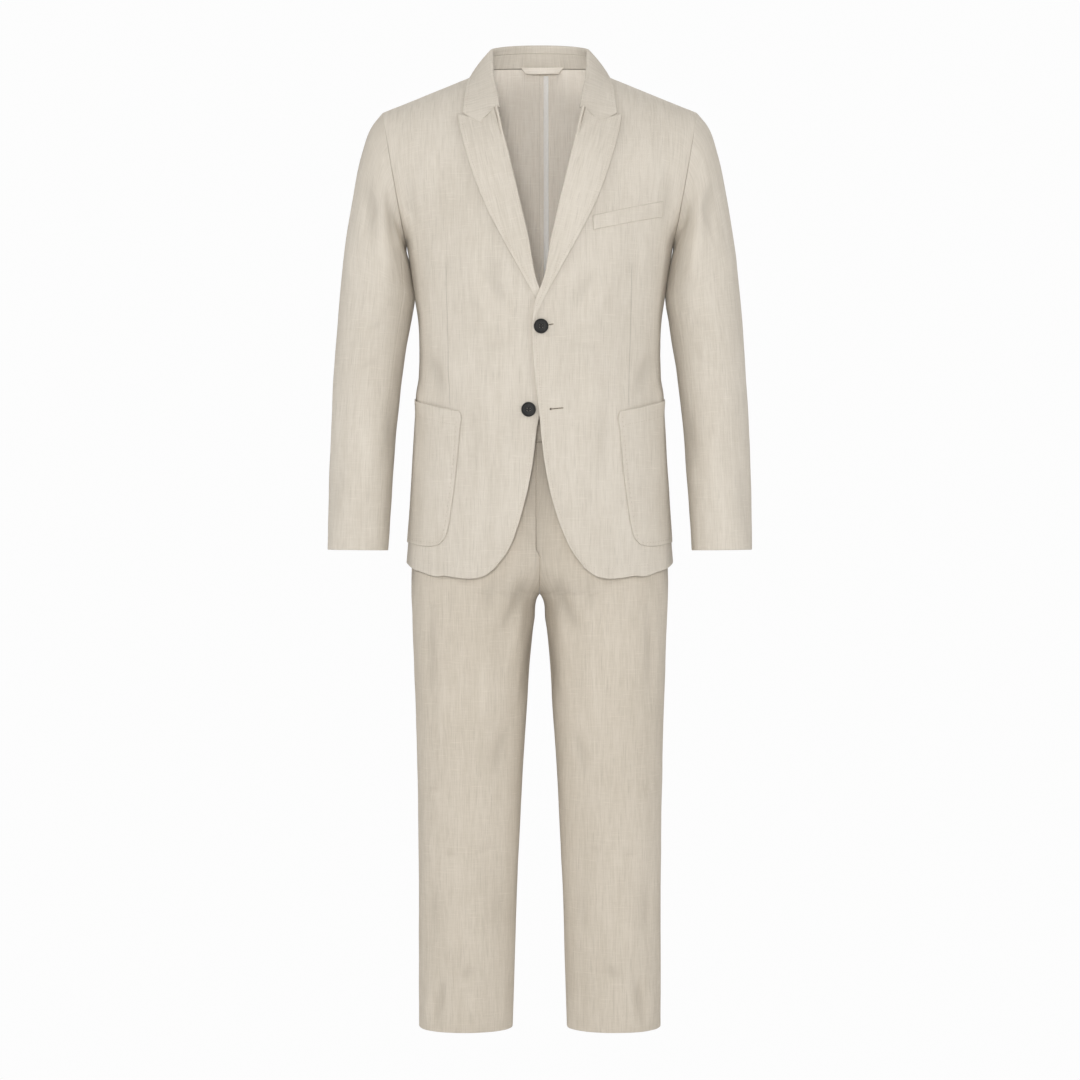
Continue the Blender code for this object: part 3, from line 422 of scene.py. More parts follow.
TROUSER_FRONT_FOLDS = (
    (20, -738, 62, -842, 11, -3.0, -6),
    (30, -760, 52, -900, 12, 1.8, -5),
    (12, -812, 34, -960, 9, -1.8, -4),
    (64, -742, 76, -812, 12, -1.9, 4),
    (150, -790, 163, -800, 7, -0.9, 2),
    (158, -760, 158, -960, 10, -2.0, 4),
    (70, -846, 82, -1010, 14, 1.5, 5),
    (40, -958, 66, -1060, 13, -2.0, 8),
    (150, -900, 148, -1010, 15, 1.1, -4),
    (146, -1060, 172, -1072, 6, -1.2, 3),
    (150, -1082, 172, -1076, 6, 0.9, 2),
    (48, -1150, 108, -1166, 8, -1.1, 5),
    (112, -1168, 152, -1160, 7, -1.3, 4),
    (156, -1180, 154, -1300, 10, -1.6, 3),
    (62, -1180, 74, -1300, 14, -1.4, -5),
    (88, -1330, 122, -1352, 12, -2.0, 5),
    (124, -1230, 130, -1330, 15, 1.4, 4),
    (138, -1330, 152, -1424, 9, -2.6, 3),
    (160, -1350, 166, -1424, 9, 1.5, 2),
    (58, -1350, 60, -1424, 13, 1.2, -3),
)
TROUSER_BACK_FOLDS = (
    (18, -770, 120, -738, 13, -3.0, 8),
    (16, -800, 150, -790, 12, -2.4, 6),
    (20, -836, 110, -850, 14, -1.9, -6),
    (150, -640, 110, -728, 18, 1.4, 6),
    (60, -880, 74, -1040, 17, 1.5, 6),
    (120, -900, 128, -1060, 16, -1.4, -6),
    (44, -1070, 160, -1088, 13, -2.4, -6),
    (40, -1108, 150, -1112, 12, -1.8, 5),
    (50, -1150, 140, -1140, 12, 1.2, 5),
    (80, -1210, 96, -1400, 17, -1.6, 6),
    (140, -1240, 146, -1424, 14, 1.5, -4),
)

# Gentle unevenness of soft cloth: wave lengths across and up, in the cloth's own width and length
WAVES = (
    (67.0, 310.0, 0.26, 0.4),
    (41.0, 205.0, 0.17, 2.1),
    (103.0, 130.0, 0.2, 4.0),
    (27.0, 90.0, 0.08, 1.3),
)


def marks(length, step=FINE_STEP, start=True, end=True):
    """Shares from 0 to 1 along a length, about a step apart and closer together at its edges."""
    near = np.array(EDGE_RINGS) / length
    inner = np.linspace(0, 1, max(3, round(length / step)) + 1)[1:-1]
    shares = [np.array((0.0,))]
    if start:
        shares.append(near)
        inner = inner[inner > 1.5 * near[-1]]
    if end:
        inner = inner[inner < 1 - 1.5 * near[-1]]
    shares.append(inner)
    if end:
        shares.append(1 - near[::-1])
    shares.append(np.array((1.0,)))
    return np.concatenate(shares)


def smooth_through(knots, values, at):
    """Read a smooth curve that passes through the values given at rising knots."""
    knots = np.asarray(knots, float)
    values = np.asarray(values, float)
    at = np.atleast_1d(np.asarray(at, float))
    slopes = np.gradient(values, knots, axis=0)
    index = np.clip(np.searchsorted(knots, at, side="right") - 1, 0, len(knots) - 2)
    width = knots[index + 1] - knots[index]
    t = np.clip((at - knots[index]) / width, 0.0, 1.0)
    shape = (-1,) + (1,) * (values.ndim - 1)
    t = t.reshape(shape)
    width = width.reshape(shape)
    start = (2 * t**3 - 3 * t**2 + 1) * values[index] + (t**3 - 2 * t**2 + t) * width * slopes[index]
    end = (3 * t**2 - 2 * t**3) * values[index + 1] + (t**3 - t**2) * width * slopes[index + 1]
    return start + end


def picked(table, names, *wanted):
    """Some columns of a table, as an array of points."""
    return np.array([[row[names.index(name)] for name in wanted] for row in table], float)


def column(table, names, wanted, known, at):
    """Read one column of a table at places given in another of its columns."""
    rows = picked(table, names, known, wanted)
    rows = rows[np.argsort(rows[:, 0])]
    return smooth_through(rows[:, 0], rows[:, 1], at)


def unit(vectors):
    return vectors / np.maximum(np.linalg.norm(vectors, axis=-1, keepdims=True), 1e-9)


def steps_along(grid, axis=0):
    """Lengths from each point of a line or a grid to the next one, along an axis."""
    return np.linalg.norm(np.diff(grid, axis=axis), axis=-1)


def added_up(steps, axis=0):
    """Distances from the start, point by point, from the lengths between the points."""
    return np.insert(np.cumsum(steps, axis=axis), 0, 0.0, axis=axis)


def along(points, fraction):
    """Walk a smooth curve through points, by its share of the whole length."""
    points = np.asarray(points, float)
    steps = steps_along(points)
    knots = added_up(steps) / steps.sum()
    return smooth_through(knots, points, fraction)


def ease(value):
    """Rise smoothly from 0 to 1."""
    value = np.clip(value, 0.0, 1.0)
    return value * value * (3 - 2 * value)


def power(value, exponent):
    return np.sign(value) * np.abs(value) ** exponent


def torso_angle(x, z):
    """Angle round the body, 0 at the middle and 90 degrees at the side seam."""
    half_width = column(TORSO, TORSO_COLUMNS, "half_width", "z", z)
    share = np.clip(np.abs(x) / half_width, 0.0, 1.0)
    return np.sign(x) * np.arcsin(share ** (BODY_SQUARENESS / 2))


def front_places(x, z):
    """Angle round the body and height, for some x and z of the front view."""
    return np.stack((torso_angle(x, z), z), axis=-1)


def torso(angle, z, half):
    """Points on the outside of the body, on its front or back half."""
    flat_z = np.ravel(z)
    half_width = column(TORSO, TORSO_COLUMNS, "half_width", "z", flat_z).reshape(np.shape(z))
    depth = column(TORSO, TORSO_COLUMNS, half, "z", flat_z).reshape(np.shape(z))
    x = half_width * power(np.sin(angle), 2 / BODY_SQUARENESS)
    reach = power(np.cos(angle), 2 / BODY_SQUARENESS)
    if half == "front":
        y = SIDE_SEAM_Y - (depth + SIDE_SEAM_Y) * reach
    else:
        y = SIDE_SEAM_Y + (depth - SIDE_SEAM_Y) * reach
    return np.stack((x, y, z * np.ones_like(x)), axis=-1)


def armhole(turn):
    """The armhole's edge: turn 0 at the shoulder, 180 degrees at the underarm, front first."""
    turn = np.atleast_1d(turn)[:, None]
    forward = np.array((0.0, -ARMHOLE_HALF_DEPTH, 0.0))
    return ARMHOLE_CENTRE + ARMHOLE_AXIS * np.cos(turn) + forward * np.sin(turn)


def patch_between(left, right, bottom, top, rows, columns):
    """Fill four meeting edge curves with a smooth patch of points, rows upwards."""
    rows = rows[:, None, None]
    columns = columns[None, :, None]
    across = (1 - columns) * left[:, None, :] + columns * right[:, None, :]
    upward = (1 - rows) * bottom[None, :, :] + rows * top[None, :, :]
    low = (1 - columns) * bottom[0] + columns * bottom[-1]
    high = (1 - columns) * top[0] + columns * top[-1]
    return across + upward - ((1 - rows) * low + rows * high)


def chest_rows(inner_edge, outer_edge, bottom_row, top_row, heights, columns, fullness):
    """Rows from the underarm to the shoulder, keeping the bottom row's roundness as they rise."""
    share = columns[:, None]
    bottom_round = bottom_row - (bottom_row[0] + (bottom_row[-1] - bottom_row[0]) * share)
    top_round = top_row - (top_row[0] + (top_row[-1] - top_row[0]) * share)
    rows = []
    for height, start, end in zip(heights, inner_edge, outer_edge):
        straight = start + (end - start) * share
        rows.append(straight + bottom_round * (1 - height) ** fullness + top_round * height**3)
    return np.array(rows)


def softened(grid, row, reach=16, passes=60):
    """Ease the bend where the chest rows meet the body's rows, away from the armhole's corner."""
    grid = grid.copy()
    rows = np.arange(len(grid))
    columns = np.arange(grid.shape[1])
    weight = ease(1 - np.abs(rows - row) / reach)[:, None] * ease((grid.shape[1] - 2 - columns) / 8)[None, :]
    for _ in range(passes):
        mean = grid.copy()
        mean[1:-1] = (grid[:-2] + grid[2:]) / 2
        grid += (mean - grid) * (0.5 * weight)[..., None]
    return grid


def front_surface(columns, lower, upper):
    """Outside of the wearer's left front, from its front edge to the side seam and armhole."""
    corner_z = HEM_CORNER[1]
    edge_z = corner_z + (UNDERARM_Z - corner_z) * lower
    edge_x = column(FRONT_EDGE, EDGE_COLUMNS, "x", "z", edge_z)
    left = front_places(edge_x, edge_z)
    hem = along(picked(FRONT_HEM, FRONT_HEM_COLUMNS, "x", "z"), columns)
    bottom = front_places(*hem.T)
    bottom[-1, 0] = math.pi / 2
    side_z = HEM_SIDE_Z + (UNDERARM_Z - HEM_SIDE_Z) * lower
    right = np.stack((np.full(len(lower), math.pi / 2), side_z), axis=-1)
    underarm = left[-1, 0] + (math.pi / 2 - left[-1, 0]) * columns
    top = np.stack((underarm, np.full(len(columns), UNDERARM_Z)), axis=-1)
    flat = patch_between(left, right, bottom, top, lower, columns)
    body = torso(flat[..., 0], flat[..., 1], "front")
    neck = np.vstack((body[-1, 0], picked(NECK_EDGE, NECK_EDGE_COLUMNS, "x", "y", "z")))
    inner_edge = along(neck, upper)
    outer_edge = armhole(math.pi * (1 - upper))
    shoulder = inner_edge[-1] + (outer_edge[-1] - inner_edge[-1]) * columns[:, None]
    chest = chest_rows(inner_edge, outer_edge, body[-1], shoulder, upper, columns, CHEST_FULLNESS)
    return np.vstack((body, chest[1:]))


def back_neck(share):
    """The back neck's seam, from the centre back to the side neck point."""
    turn = np.asarray(share) * math.pi / 2
    x = SIDE_NECK[0] * np.sin(turn)
    y = SIDE_NECK[1] + (BACK_NECK[1] - SIDE_NECK[1]) * np.cos(turn)
    z = SIDE_NECK[2] + (BACK_NECK[2] - SIDE_NECK[2]) * np.cos(turn)
    return np.stack((x, y, z), axis=-1)


def back_surface(columns, lower, upper):
    """Outside of the wearer's left back, from the centre seam to the side seam."""
    angles = columns * math.pi / 2
    hem_z = HEM_BACK_Z + (HEM_SIDE_Z - HEM_BACK_Z) * np.sin(angles) ** 2
    z = hem_z[None, :] + (UNDERARM_Z - hem_z[None, :]) * lower[:, None]
    body = torso(np.broadcast_to(angles, z.shape), z, "back")
    seam = np.insert(picked(CENTRE_BACK, CENTRE_BACK_COLUMNS, "y", "z"), 0, 0.0, axis=1)
    inner_edge = along(np.vstack((body[-1, 0], seam)), upper)
    outer_edge = armhole(math.pi * (upper - 1))
    neck = back_neck(np.clip(columns / BACK_NECK_SHARE, 0, 1))
    share = np.clip((columns - BACK_NECK_SHARE) / (1 - BACK_NECK_SHARE), 0, 1)[:, None]
    shoulder = SIDE_NECK + (armhole(0.0)[0] - SIDE_NECK) * share
    top = np.where((columns <= BACK_NECK_SHARE)[:, None], neck, shoulder)
    chest = chest_rows(inner_edge, outer_edge, body[-1], top, upper, columns, BACK_FULLNESS)
    return np.vstack((body, chest[1:]))


def sleeve_surface(turns, shares):
    """Outside of the left sleeve, ring by ring from the armhole to the cuff."""
    table = picked((SLEEVE_HEAD,) + SLEEVE, SLEEVE_COLUMNS, *SLEEVE_COLUMNS)
    outer = picked((SLEEVE_HEAD,) + SLEEVE, SLEEVE_COLUMNS, "outer_x", "outer_z")
    inner = picked((SLEEVE_HEAD,) + SLEEVE, SLEEVE_COLUMNS, "inner_x", "inner_z")
    knots = added_up(steps_along((outer + inner) / 2))
    rings = smooth_through(knots, table, shares * knots[-1])
    grid = []
    for outer_x, outer_z, inner_x, inner_z, y_centre, half_depth in rings:
        centre = np.array(((outer_x + inner_x) / 2, y_centre, (outer_z + inner_z) / 2))
        across = np.array(((outer_x - inner_x) / 2, 0.0, (outer_z - inner_z) / 2))
        forward = np.array((0.0, -half_depth, 0.0))
        grid.append(centre + across * np.cos(turns)[:, None] + forward * np.sin(turns)[:, None])
    grid = np.array(grid)
    seat = armhole(turns) + np.array((SLEEVE_OUTSET, 0.0, 0.0)) - grid[0]
    return grid + seat * (1 - ease(shares * knots[-1] / SLEEVE_HEAD_REACH))[:, None, None]


def fly_edge(z):
    """Where the fly's edge stands off the centre line: the left front laps past it."""
    return -FLY_LAP * ease((z - FLY_END_Z) / FLY_CURVE)


def trouser_surface(half, side, columns, rows):
    """Outside of one panel of a leg, from its hem up to the waistband, as a left leg."""
    low = TROUSERS[-1][0]
    grid = []
    for z in low + (BAND_BOTTOM_Z - SEAM_GAP - low) * rows:
        outer, inner, depth = (
            column(TROUSERS, TROUSER_COLUMNS, name, "z", z)[0] for name in ("outer", "inner", half)
        )
        centre = (outer + inner) / 2
        radius = (outer - inner) / 2
        start_x = side * fly_edge(z) if half == "front" else 0.0
        share = np.clip((start_x - centre) / radius, -1.0, 1.0)
        start = np.sign(share) * math.asin(abs(share) ** (TROUSER_SQUARENESS / 2))
        angles = start + (math.pi / 2 - start) * columns
        x = centre + radius * power(np.sin(angles), 2 / TROUSER_SQUARENESS)
        reach = depth * power(np.cos(angles), 2 / TROUSER_SQUARENESS)
        y = -reach if half == "front" else reach
        grid.append(np.stack((x, y, np.full_like(x, z)), axis=-1))
    return np.array(grid)


def grid_normals(grid, ring=False):
    """Unit normals at every point of a grid."""
    if ring:
        around = np.roll(grid, -1, axis=1) - np.roll(grid, 1, axis=1)
    else:
        around = np.gradient(grid, axis=1)
    normals = np.cross(around, np.gradient(grid, axis=0))
    return unit(normals)


def flatten(normals, axis):
    """Take one direction out of some normals, so that an edge lies square to it."""
    normals = normals.copy()
    normals[..., axis] = 0.0
    return unit(normals)


def folds(grid, table):
    """How far each point moves out for the folds of a table, placed by x and z."""
    places = grid[..., (0, 2)]
    shift = np.zeros(grid.shape[:2])
    for x0, z0, x1, z1, half_width, depth, bow in table:
        start = np.array((x0, z0), float)
        line = np.array((x1, z1), float) - start
        length = np.linalg.norm(line)
        line /= length
        across = np.array((-line[1], line[0]))
        t = (places - start) @ line / length
        off = (places - start) @ across - bow * 4 * t * (1 - t)
        reach = (off / half_width) ** 2
        fade = ease(1 - np.abs(2 * t - 1)) ** 0.7
        shift += depth * fade * np.exp(-reach) * (1 - 0.55 * reach)
    return shift * FOLD_GAIN


def waves(flat, phase):
    """Soft unevenness that runs with the grain."""
    shift = np.zeros(flat.shape[:2])
    for across, up, height, turn in WAVES:
        shift += height * np.sin(2 * math.pi * (flat[..., 0] / across) + turn + phase
                                 + 1.7 * np.sin(2 * math.pi * flat[..., 1] / up + phase * 2.3))
    return shift


def flat_places(grid, grain_x, turn_row=None):
    """Each point's place in the cut: its width from an upright grain line, and its height or length."""
    arc = added_up(steps_along(grid, 1), 1)
    start = [np.interp(grain_x, row[:, 0], length) for row, length in zip(grid, arc)]
    across = arc - np.array(start)[:, None] + grain_x
    height = grid[..., 2].copy()
    if turn_row is not None:
        rise = steps_along(grid[turn_row:])
        height[turn_row + 1:] = height[turn_row] + np.cumsum(rise, axis=0)
    return np.stack((across, height), axis=-1)


def strip_places(grid):
    """Each point's place in a strip: its width, and its length along the middle of the strip."""
    width = added_up(steps_along(grid).mean(axis=1))[:, None]
    run = added_up(steps_along(grid[len(grid) // 2]))[None, :]
    return np.stack(np.broadcast_arrays(width, run), axis=-1)


def turned_in(grid, normals, sides, dips=SEAM_DIPS):
    """Round a panel's outside down towards some of its edges."""
    grid = grid.copy()
    for side in sides:
        for ring, dip in enumerate(dips):
            place = {"left": (slice(None), ring), "right": (slice(None), -1 - ring),
                     "bottom": (ring,), "top": (-1 - ring,)}[side]
            grid[place] -= normals[place] * dip
    return grid


def flush_armhole(outer, grid, normals, first_row):
    """Keep a panel's outside nearly flush with the sleeve, along its armhole."""
    for ring, dip in enumerate(ARMHOLE_DIPS):
        place = (slice(first_row + 1, -len(ARMHOLE_DIPS)), -1 - ring)
        outer[place] = grid[place] - normals[place] * dip
    return outer


def mirrored(grid):
    return grid * np.array((-1.0, 1.0, 1.0))


def panel_fade(grid, sides, reach=12.0):
    """Fade to nothing near the edges that are sewn to another piece."""
    fade = np.ones(grid.shape[:2])
    for side in sides:
        axis = 1 if side in ("left", "right") else 0
        away = added_up(steps_along(grid, axis), axis)
        if side in ("right", "top"):
            away = (away[:, -1:] if axis else away[-1:]) - away
        fade *= ease(away / reach)
    return fade


def cut_area(grid):
    """Area of a grid's surface, in square metres."""
    first = np.cross(grid[1:, 1:] - grid[:-1, :-1], grid[1:, :-1] - grid[:-1, 1:])
    return float(np.linalg.norm(first, axis=-1).sum() / 2) * MM * MM


def quads(index):
    """Four-sided faces between the points of a grid of point numbers."""
    corners = (index[:-1, :-1], index[:-1, 1:], index[1:, 1:], index[1:, :-1])
    return np.stack(corners, axis=-1).reshape(-1, 4)


def shell(name, outer, inner, flat, node, material,
          ring=False, inside=None, crease=None):
    """A thin cloth between an outer and an inner grid, its free edges rounded, as one closed piece."""
    rows, columns = outer.shape[:2]
    half = rows * columns
    corner = np.arange(half).reshape(rows, columns)
    if ring:
        corner = np.concatenate((corner, corner[:, :1]), axis=1)
        flat_index = np.arange(flat.shape[0] * flat.shape[1]).reshape(flat.shape[:2])
    else:
        flat_index = np.arange(half).reshape(rows, columns)

    faces_out = quads(corner)
    faces = [faces_out, faces_out[:, ::-1] + half]
    places = [quads(flat_index), quads(flat_index)[:, ::-1]]
    points = [outer.reshape(-1, 3), inner.reshape(-1, 3)]
    count = 2 * half
    if ring:
        loops = [(corner[0], flat_index[0], 1), (corner[-1], flat_index[-1], -1)]
    else:
        border = np.concatenate((corner[0, :-1], corner[:-1, -1], corner[-1, :0:-1], corner[:0:-1, 0]))
        border = np.append(border, border[0])
        loops = [(border, border, 1)]
    flat_outer = outer.reshape(-1, 3)
    flat_inner = inner.reshape(-1, 3)
    for border, border_flat, way in loops:
        if ring:
            row = 0 if way > 0 else rows - 1
            step = outer[row] - outer[row + way]
            edge = border[:-1]
        else:
            step = np.zeros_like(outer)
            step[0] += unit(outer[0] - outer[1])
            step[-1] += unit(outer[-1] - outer[-2])
            step[:, 0] += unit(outer[:, 0] - outer[:, 1])
            step[:, -1] += unit(outer[:, -1] - outer[:, -2])
            edge = border[:-1]
            step = step.reshape(-1, 3)[edge]
        wall = flat_outer[edge] - flat_inner[edge]
        out = unit(step) * np.linalg.norm(wall, axis=-1, keepdims=True) * EDGE_BULGE
        middle = (flat_outer[edge] + flat_inner[edge]) / 2 + out
        ids = count + np.arange(len(edge))
        ids = np.append(ids, ids[0])
        points.append(middle)
        count += len(edge)
        first, second = border[:-1], border[1:]
        here, after = ids[:-1], ids[1:]
        band = np.stack((second, first, here, after), axis=-1)
        under = np.stack((after, here, first + half, second + half), axis=-1)
        band_flat = np.stack((border_flat[1:], border_flat[:-1], border_flat[:-1], border_flat[1:]), axis=-1)
        if way < 0:
            band, under, band_flat = band[:, ::-1], under[:, ::-1], band_flat[:, ::-1]
        faces += [band, under]
        places += [band_flat, band_flat]
    points = np.concatenate(points) * MM
    faces = np.concatenate(faces)
    places = np.concatenate(places)
    a, b, c, d = (points[faces[:, k]] for k in range(4))
    volume = (np.einsum("ij,ij->i", a, np.cross(b, c)) + np.einsum("ij,ij->i", a, np.cross(c, d))).sum()
    if volume < 0:
        faces = faces[:, ::-1]
        places = places[:, ::-1]
    mesh = bpy.data.meshes.new(name)
    mesh.from_pydata(points.tolist(), [], faces.tolist())
    uv = mesh.uv_layers.new(name="cloth")
    uv.data.foreach_set("uv", (flat.reshape(-1, 2) * MM)[places.reshape(-1)].astype(np.float32).ravel())
    mesh.shade_smooth()
    # Painted shade: pieces without their own folds get a dark line painted along their free edges, standing in for
    # the shadow at the edge
    if crease is None and not ring:
        crease = np.zeros((rows, columns))
        crease[[0, -1]] = crease[:, [0, -1]] = -EDGE_PAINTED_SHADE
    # The crease attribute carries each point's fold shift, or the painted edge shade above; the linen paints shade
    # where it is below 0 and a highlight where it is above 0
    if crease is not None:
        value = np.concatenate((crease.ravel(), crease.ravel(), np.zeros(count - 2 * half)))
        mesh.attributes.new("crease", "FLOAT", "POINT").data.foreach_set("value", value.astype(np.float32))
    piece = add_piece(name, mesh, material, node)
    # The inner faces take the inside material, the same linen painted much paler to stand in for light inside the
    # jacket
    if inside:
        mesh.materials.append(inside)
        layer = np.zeros(len(faces), dtype=np.int32)
        layer[len(faces_out):2 * len(faces_out)] = 1
        mesh.polygons.foreach_set("material_index", layer)
    return piece


def add_piece(name, mesh, material, node):
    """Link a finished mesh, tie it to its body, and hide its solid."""
    piece = bpy.data.objects.new(name, mesh)
    bpy.context.scene.collection.objects.link(piece)
    mesh.materials.append(material)
    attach(piece, "root")
    if node:
        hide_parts(node)
    return piece


def cut_of(flat, grid):
    """The cut's width, length and area in metres, as it was before it was worn."""
    low = flat.reshape(-1, 2).min(axis=0)
    high = flat.reshape(-1, 2).max(axis=0)
    width, length = (high - low) * MM
    return float(width), float(length), cut_area(grid)


def creased(grid, normals, shift):
    return grid + normals * shift[..., None]


def lap_lift(grid):
    """How far the left front stands off the body where it laps over the right front."""
    near_middle = ease((LAP_WIDTH - grid[..., 0]) / LAP_FADE)
    below_crossing = ease((CROSSING_Z + CROSSING_RISE - grid[..., 2]) / CROSSING_FADE)
    return LAP_LIFT * near_middle * below_crossing


def dress_front(word):
    """One front's outside as worn: its grid, normals and flat places, on the left side."""
    columns = marks(FRONT_WIDTH)
    lower = marks(BODY_HEIGHT, end=False)
    upper = marks(CHEST_HEIGHT, start=False)
    grid = softened(front_surface(columns, lower, upper), len(lower) - 1)
    flat = flat_places(grid, FRONT_GRAIN_X, len(lower) - 1)
    cut = cut_of(flat, grid)
    normals = grid_normals(grid)
    table = FRONT_FOLDS + (RIGHT_FRONT_FOLDS if word == "right" else ())
    fade = panel_fade(grid, ("right", "top"))
    phase = 0.6 if word == "left" else 2.9
    crease = folds(grid, table) * fade
    grid = creased(grid, normals, crease + waves(flat, phase) * fade)
    normals = grid_normals(grid)
    normals[:, -1] = flatten(normals[:, -1], 1)
    normals[-1] = flatten(normals[-1], 1)
    grid[:len(lower), -1, 1] -= SEAM_GAP / 2
    grid[-1, :, 1] -= SEAM_GAP / 2
    inside = added_up(steps_along(grid, 1), 1)
    level = grid[..., 2]
    if word == "right":
        drawn = ease((FREE_EDGE_TOP_Z - level) / FREE_EDGE_TOP_FADE)
        drawn = drawn * ease((level - FREE_EDGE_BOTTOM_Z) / FREE_EDGE_BOTTOM_FADE)
        grid[..., 0] += FREE_EDGE_DRAW * drawn * ease(1 - inside / FREE_EDGE_WIDTH)
    else:
        curl = EDGE_CURL * ease(1 - inside / CURL_WIDTH) * ease((CROSSING_Z - level) / CURL_FADE)
        grid = grid + (lap_lift(grid) + curl)[..., None] * np.array((0.0, -1.0, 0.0))
    return grid, normals, flat, cut, crease


def surface_tree(grids):
    """A search tree over some outside surfaces, each given as a grid and its outward sign."""
    points = []
    faces = []
    for grid, sign in grids:
        start = sum(len(part) for part in points)
        rows, columns = grid.shape[:2]
        points.append(grid.reshape(-1, 3))
        corner = start + np.arange(rows * columns).reshape(rows, columns)
        face = quads(corner)
        faces += (face if sign > 0 else face[:, ::-1]).tolist()
    return BVHTree.FromPolygons(np.concatenate(points).tolist(), faces)


def on_front(tree, x, z):
    """The point and outward normal of the front at some x and z, seen from straight ahead."""
    point, normal, _, _ = tree.ray_cast(Vector((x, VIEW_Y, z)), Vector((0, 1, 0)))
    if point is None:
        near, normal, _, _ = tree.find_nearest(Vector((x, CHEST_Y, z)))
        point = Vector((x, near.y, z))
    return np.array(point), np.array(normal)


def laid(tree, places):
    """Points of the front under a grid of x and z places."""
    grid = np.zeros(places.shape[:2] + (3,))
    for index in np.ndindex(places.shape[:2]):
        grid[index], _ = on_front(tree, *places[index])
    return grid


def outward(normals):
    """Turn a grid's normals to the front."""
    return normals * -np.sign(normals[..., 1].mean())


def roll_x(z):
    """Where the lapel folds, across the front."""
    edge = picked(FRONT_EDGE, EDGE_COLUMNS, "z", "x")
    rows = np.vstack((
        edge[edge[:, 0] > LAPEL_FOOT_Z - ROLL_BELOW_FOOT],
        picked(NECK_EDGE[:3], NECK_EDGE_COLUMNS, "z", "x"),
    ))
    return smooth_through(rows[:, 0], rows[:, 1], z)


def lapel_places(foot_z, side, share, across):
    """Places of a lapel across the front, from its foot up to its peak."""
    inner_z = foot_z + (GORGE_TOP[1] - foot_z) * share
    outer_z = foot_z + (PEAK_TIP[1] - foot_z) * share
    inner_x = roll_x(inner_z)
    if side < 0:
        inner_x = np.where(inner_x > FRONT_CLEAR / 2, inner_x, FRONT_CLEAR - inner_x)
    outer_x = column(LAPEL_EDGE, LAPEL_EDGE_COLUMNS, "x", "z", outer_z)
    inner = np.stack((inner_x, inner_z), axis=-1)
    outer = np.stack((outer_x, outer_z), axis=-1)
    grid = inner[:, None] + (outer - inner)[:, None] * across[None, :, None]
    notch = np.array(NOTCH)
    top = np.array((GORGE_TOP, NOTCH, PEAK_TIP))
    gorge = np.linalg.norm(notch - top[0])
    notch_share = gorge / (gorge + np.linalg.norm(top[2] - notch))
    bend = np.stack([np.interp(across, (0, notch_share, 1), top[:, axis]) for axis in (0, 1)], axis=-1)
    bend = bend - (top[0] + (top[2] - top[0]) * across[:, None])
    grid += bend[None] * (share**LAPEL_BEND_POWER)[:, None, None]
    open_notch = np.interp(across, (0, notch_share, 1), (GORGE_LAP, GORGE_LAP, NOTCH_GAP))
    grid[..., 1] -= open_notch[None, :] * (share**LAPEL_BEND_POWER)[:, None]
    return grid


def dress_lapel(tree, word):
    """A lapel folded back at its roll line: rows up its length, columns from the roll to its edge."""
    side, foot_z = (1.0, LAPEL_FOOT_Z) if word == "left" else (-1.0, RIGHT_LAPEL_FOOT_Z)
    share = marks(LAPEL_LENGTH, TRIM_STEP)
    across = marks(LAPEL_WIDTH, TRIM_STEP, start=False)
    places = lapel_places(foot_z, side, share, across)
    base = laid(tree, places)
    width = np.linalg.norm(places[:, -1] - places[:, 0], axis=-1)
    for _ in range(3):
        base[1:-1, :, 1] = (base[:-2, :, 1] + 2 * base[1:-1, :, 1] + base[2:, :, 1]) / 4
    normals = outward(grid_normals(base))
    away = unit(base[:, :1] - base[:, 1:2])
    for line in (unit(np.gradient(base[:, 0], axis=0))[:, None], normals[:, :1]):
        away = unit(away - line * (away * line).sum(axis=-1, keepdims=True))
    to_collar = ease((places[:, 0, 1] - GORGE_TOP[1] + ROLL_OUT_REACH) / ROLL_OUT_REACH)[:, None]
    to_collar = ROLL_OUT_AT_GORGE * to_collar
    base = base + away * (to_collar * (1 - ease(across * width[:, None] / ROLL_OUT_WIDTH)))[..., None]
    open_out = ease(width / LAPEL_ROLL_WIDTH)[:, None]
    lie = LAPEL_LAYS_AT * (0.35 + 0.65 * ease(width / LIE_WIDTH))[:, None]
    bow = LAPEL_ROLL * 4 * across * (1 - across)
    open_out = open_out * ease((1 - share) * LAPEL_LENGTH / ROLL_CLOSES_OVER)[:, None]
    edge_lift = LAPEL_EDGE_LIFT * ease((across - 0.5) / 0.5)[None, :]
    edge_lift = edge_lift * ease((width - EDGE_LIFT_FROM) / EDGE_LIFT_WIDTH)[:, None]
    low = lie + bow[None, :] * open_out + edge_lift
    inner = base + normals * low[..., None]
    outer = inner + normals * PRESSED_WALL
    bend = ease((width - ROLL_BEND_FROM) / ROLL_BEND_WIDTH)[:, None, None]
    high = low[:, :1, None] + PRESSED_WALL
    radius = (high + SHELL * bend) / 2
    middle = high - radius
    turns = np.linspace(-math.pi / 2, math.pi / 2, ROLL_STEPS + 1)[:-1][None, :, None]
    turns = turns * bend + (math.pi / 2) * (1 - bend)
    thin = np.minimum(PRESSED_WALL, radius * 0.8)
    spread = bend + (1 - bend) * 0.02 * (1 - np.linspace(0, 1, ROLL_STEPS + 1)[:-1][None, :, None])
    rim = base[:, :1] + normals[:, :1] * middle
    wheel = away * np.cos(turns) + normals[:, :1] * np.sin(turns)
    push = away * (LAPEL_FOOT_PUSH * (1 - spread))
    outer = np.concatenate((rim + wheel * radius + push, outer), axis=1)
    inner = np.concatenate((rim + wheel * (radius - thin) + push, inner), axis=1)
    flat = lapel_cut(outer)
    edge_normals = outward(grid_normals(outer[:, ROLL_STEPS:]))
    outer[:, ROLL_STEPS:] = turned_in(outer[:, ROLL_STEPS:], edge_normals, ("right", "top"), FOLD_DIPS)
    return outer, inner, flat


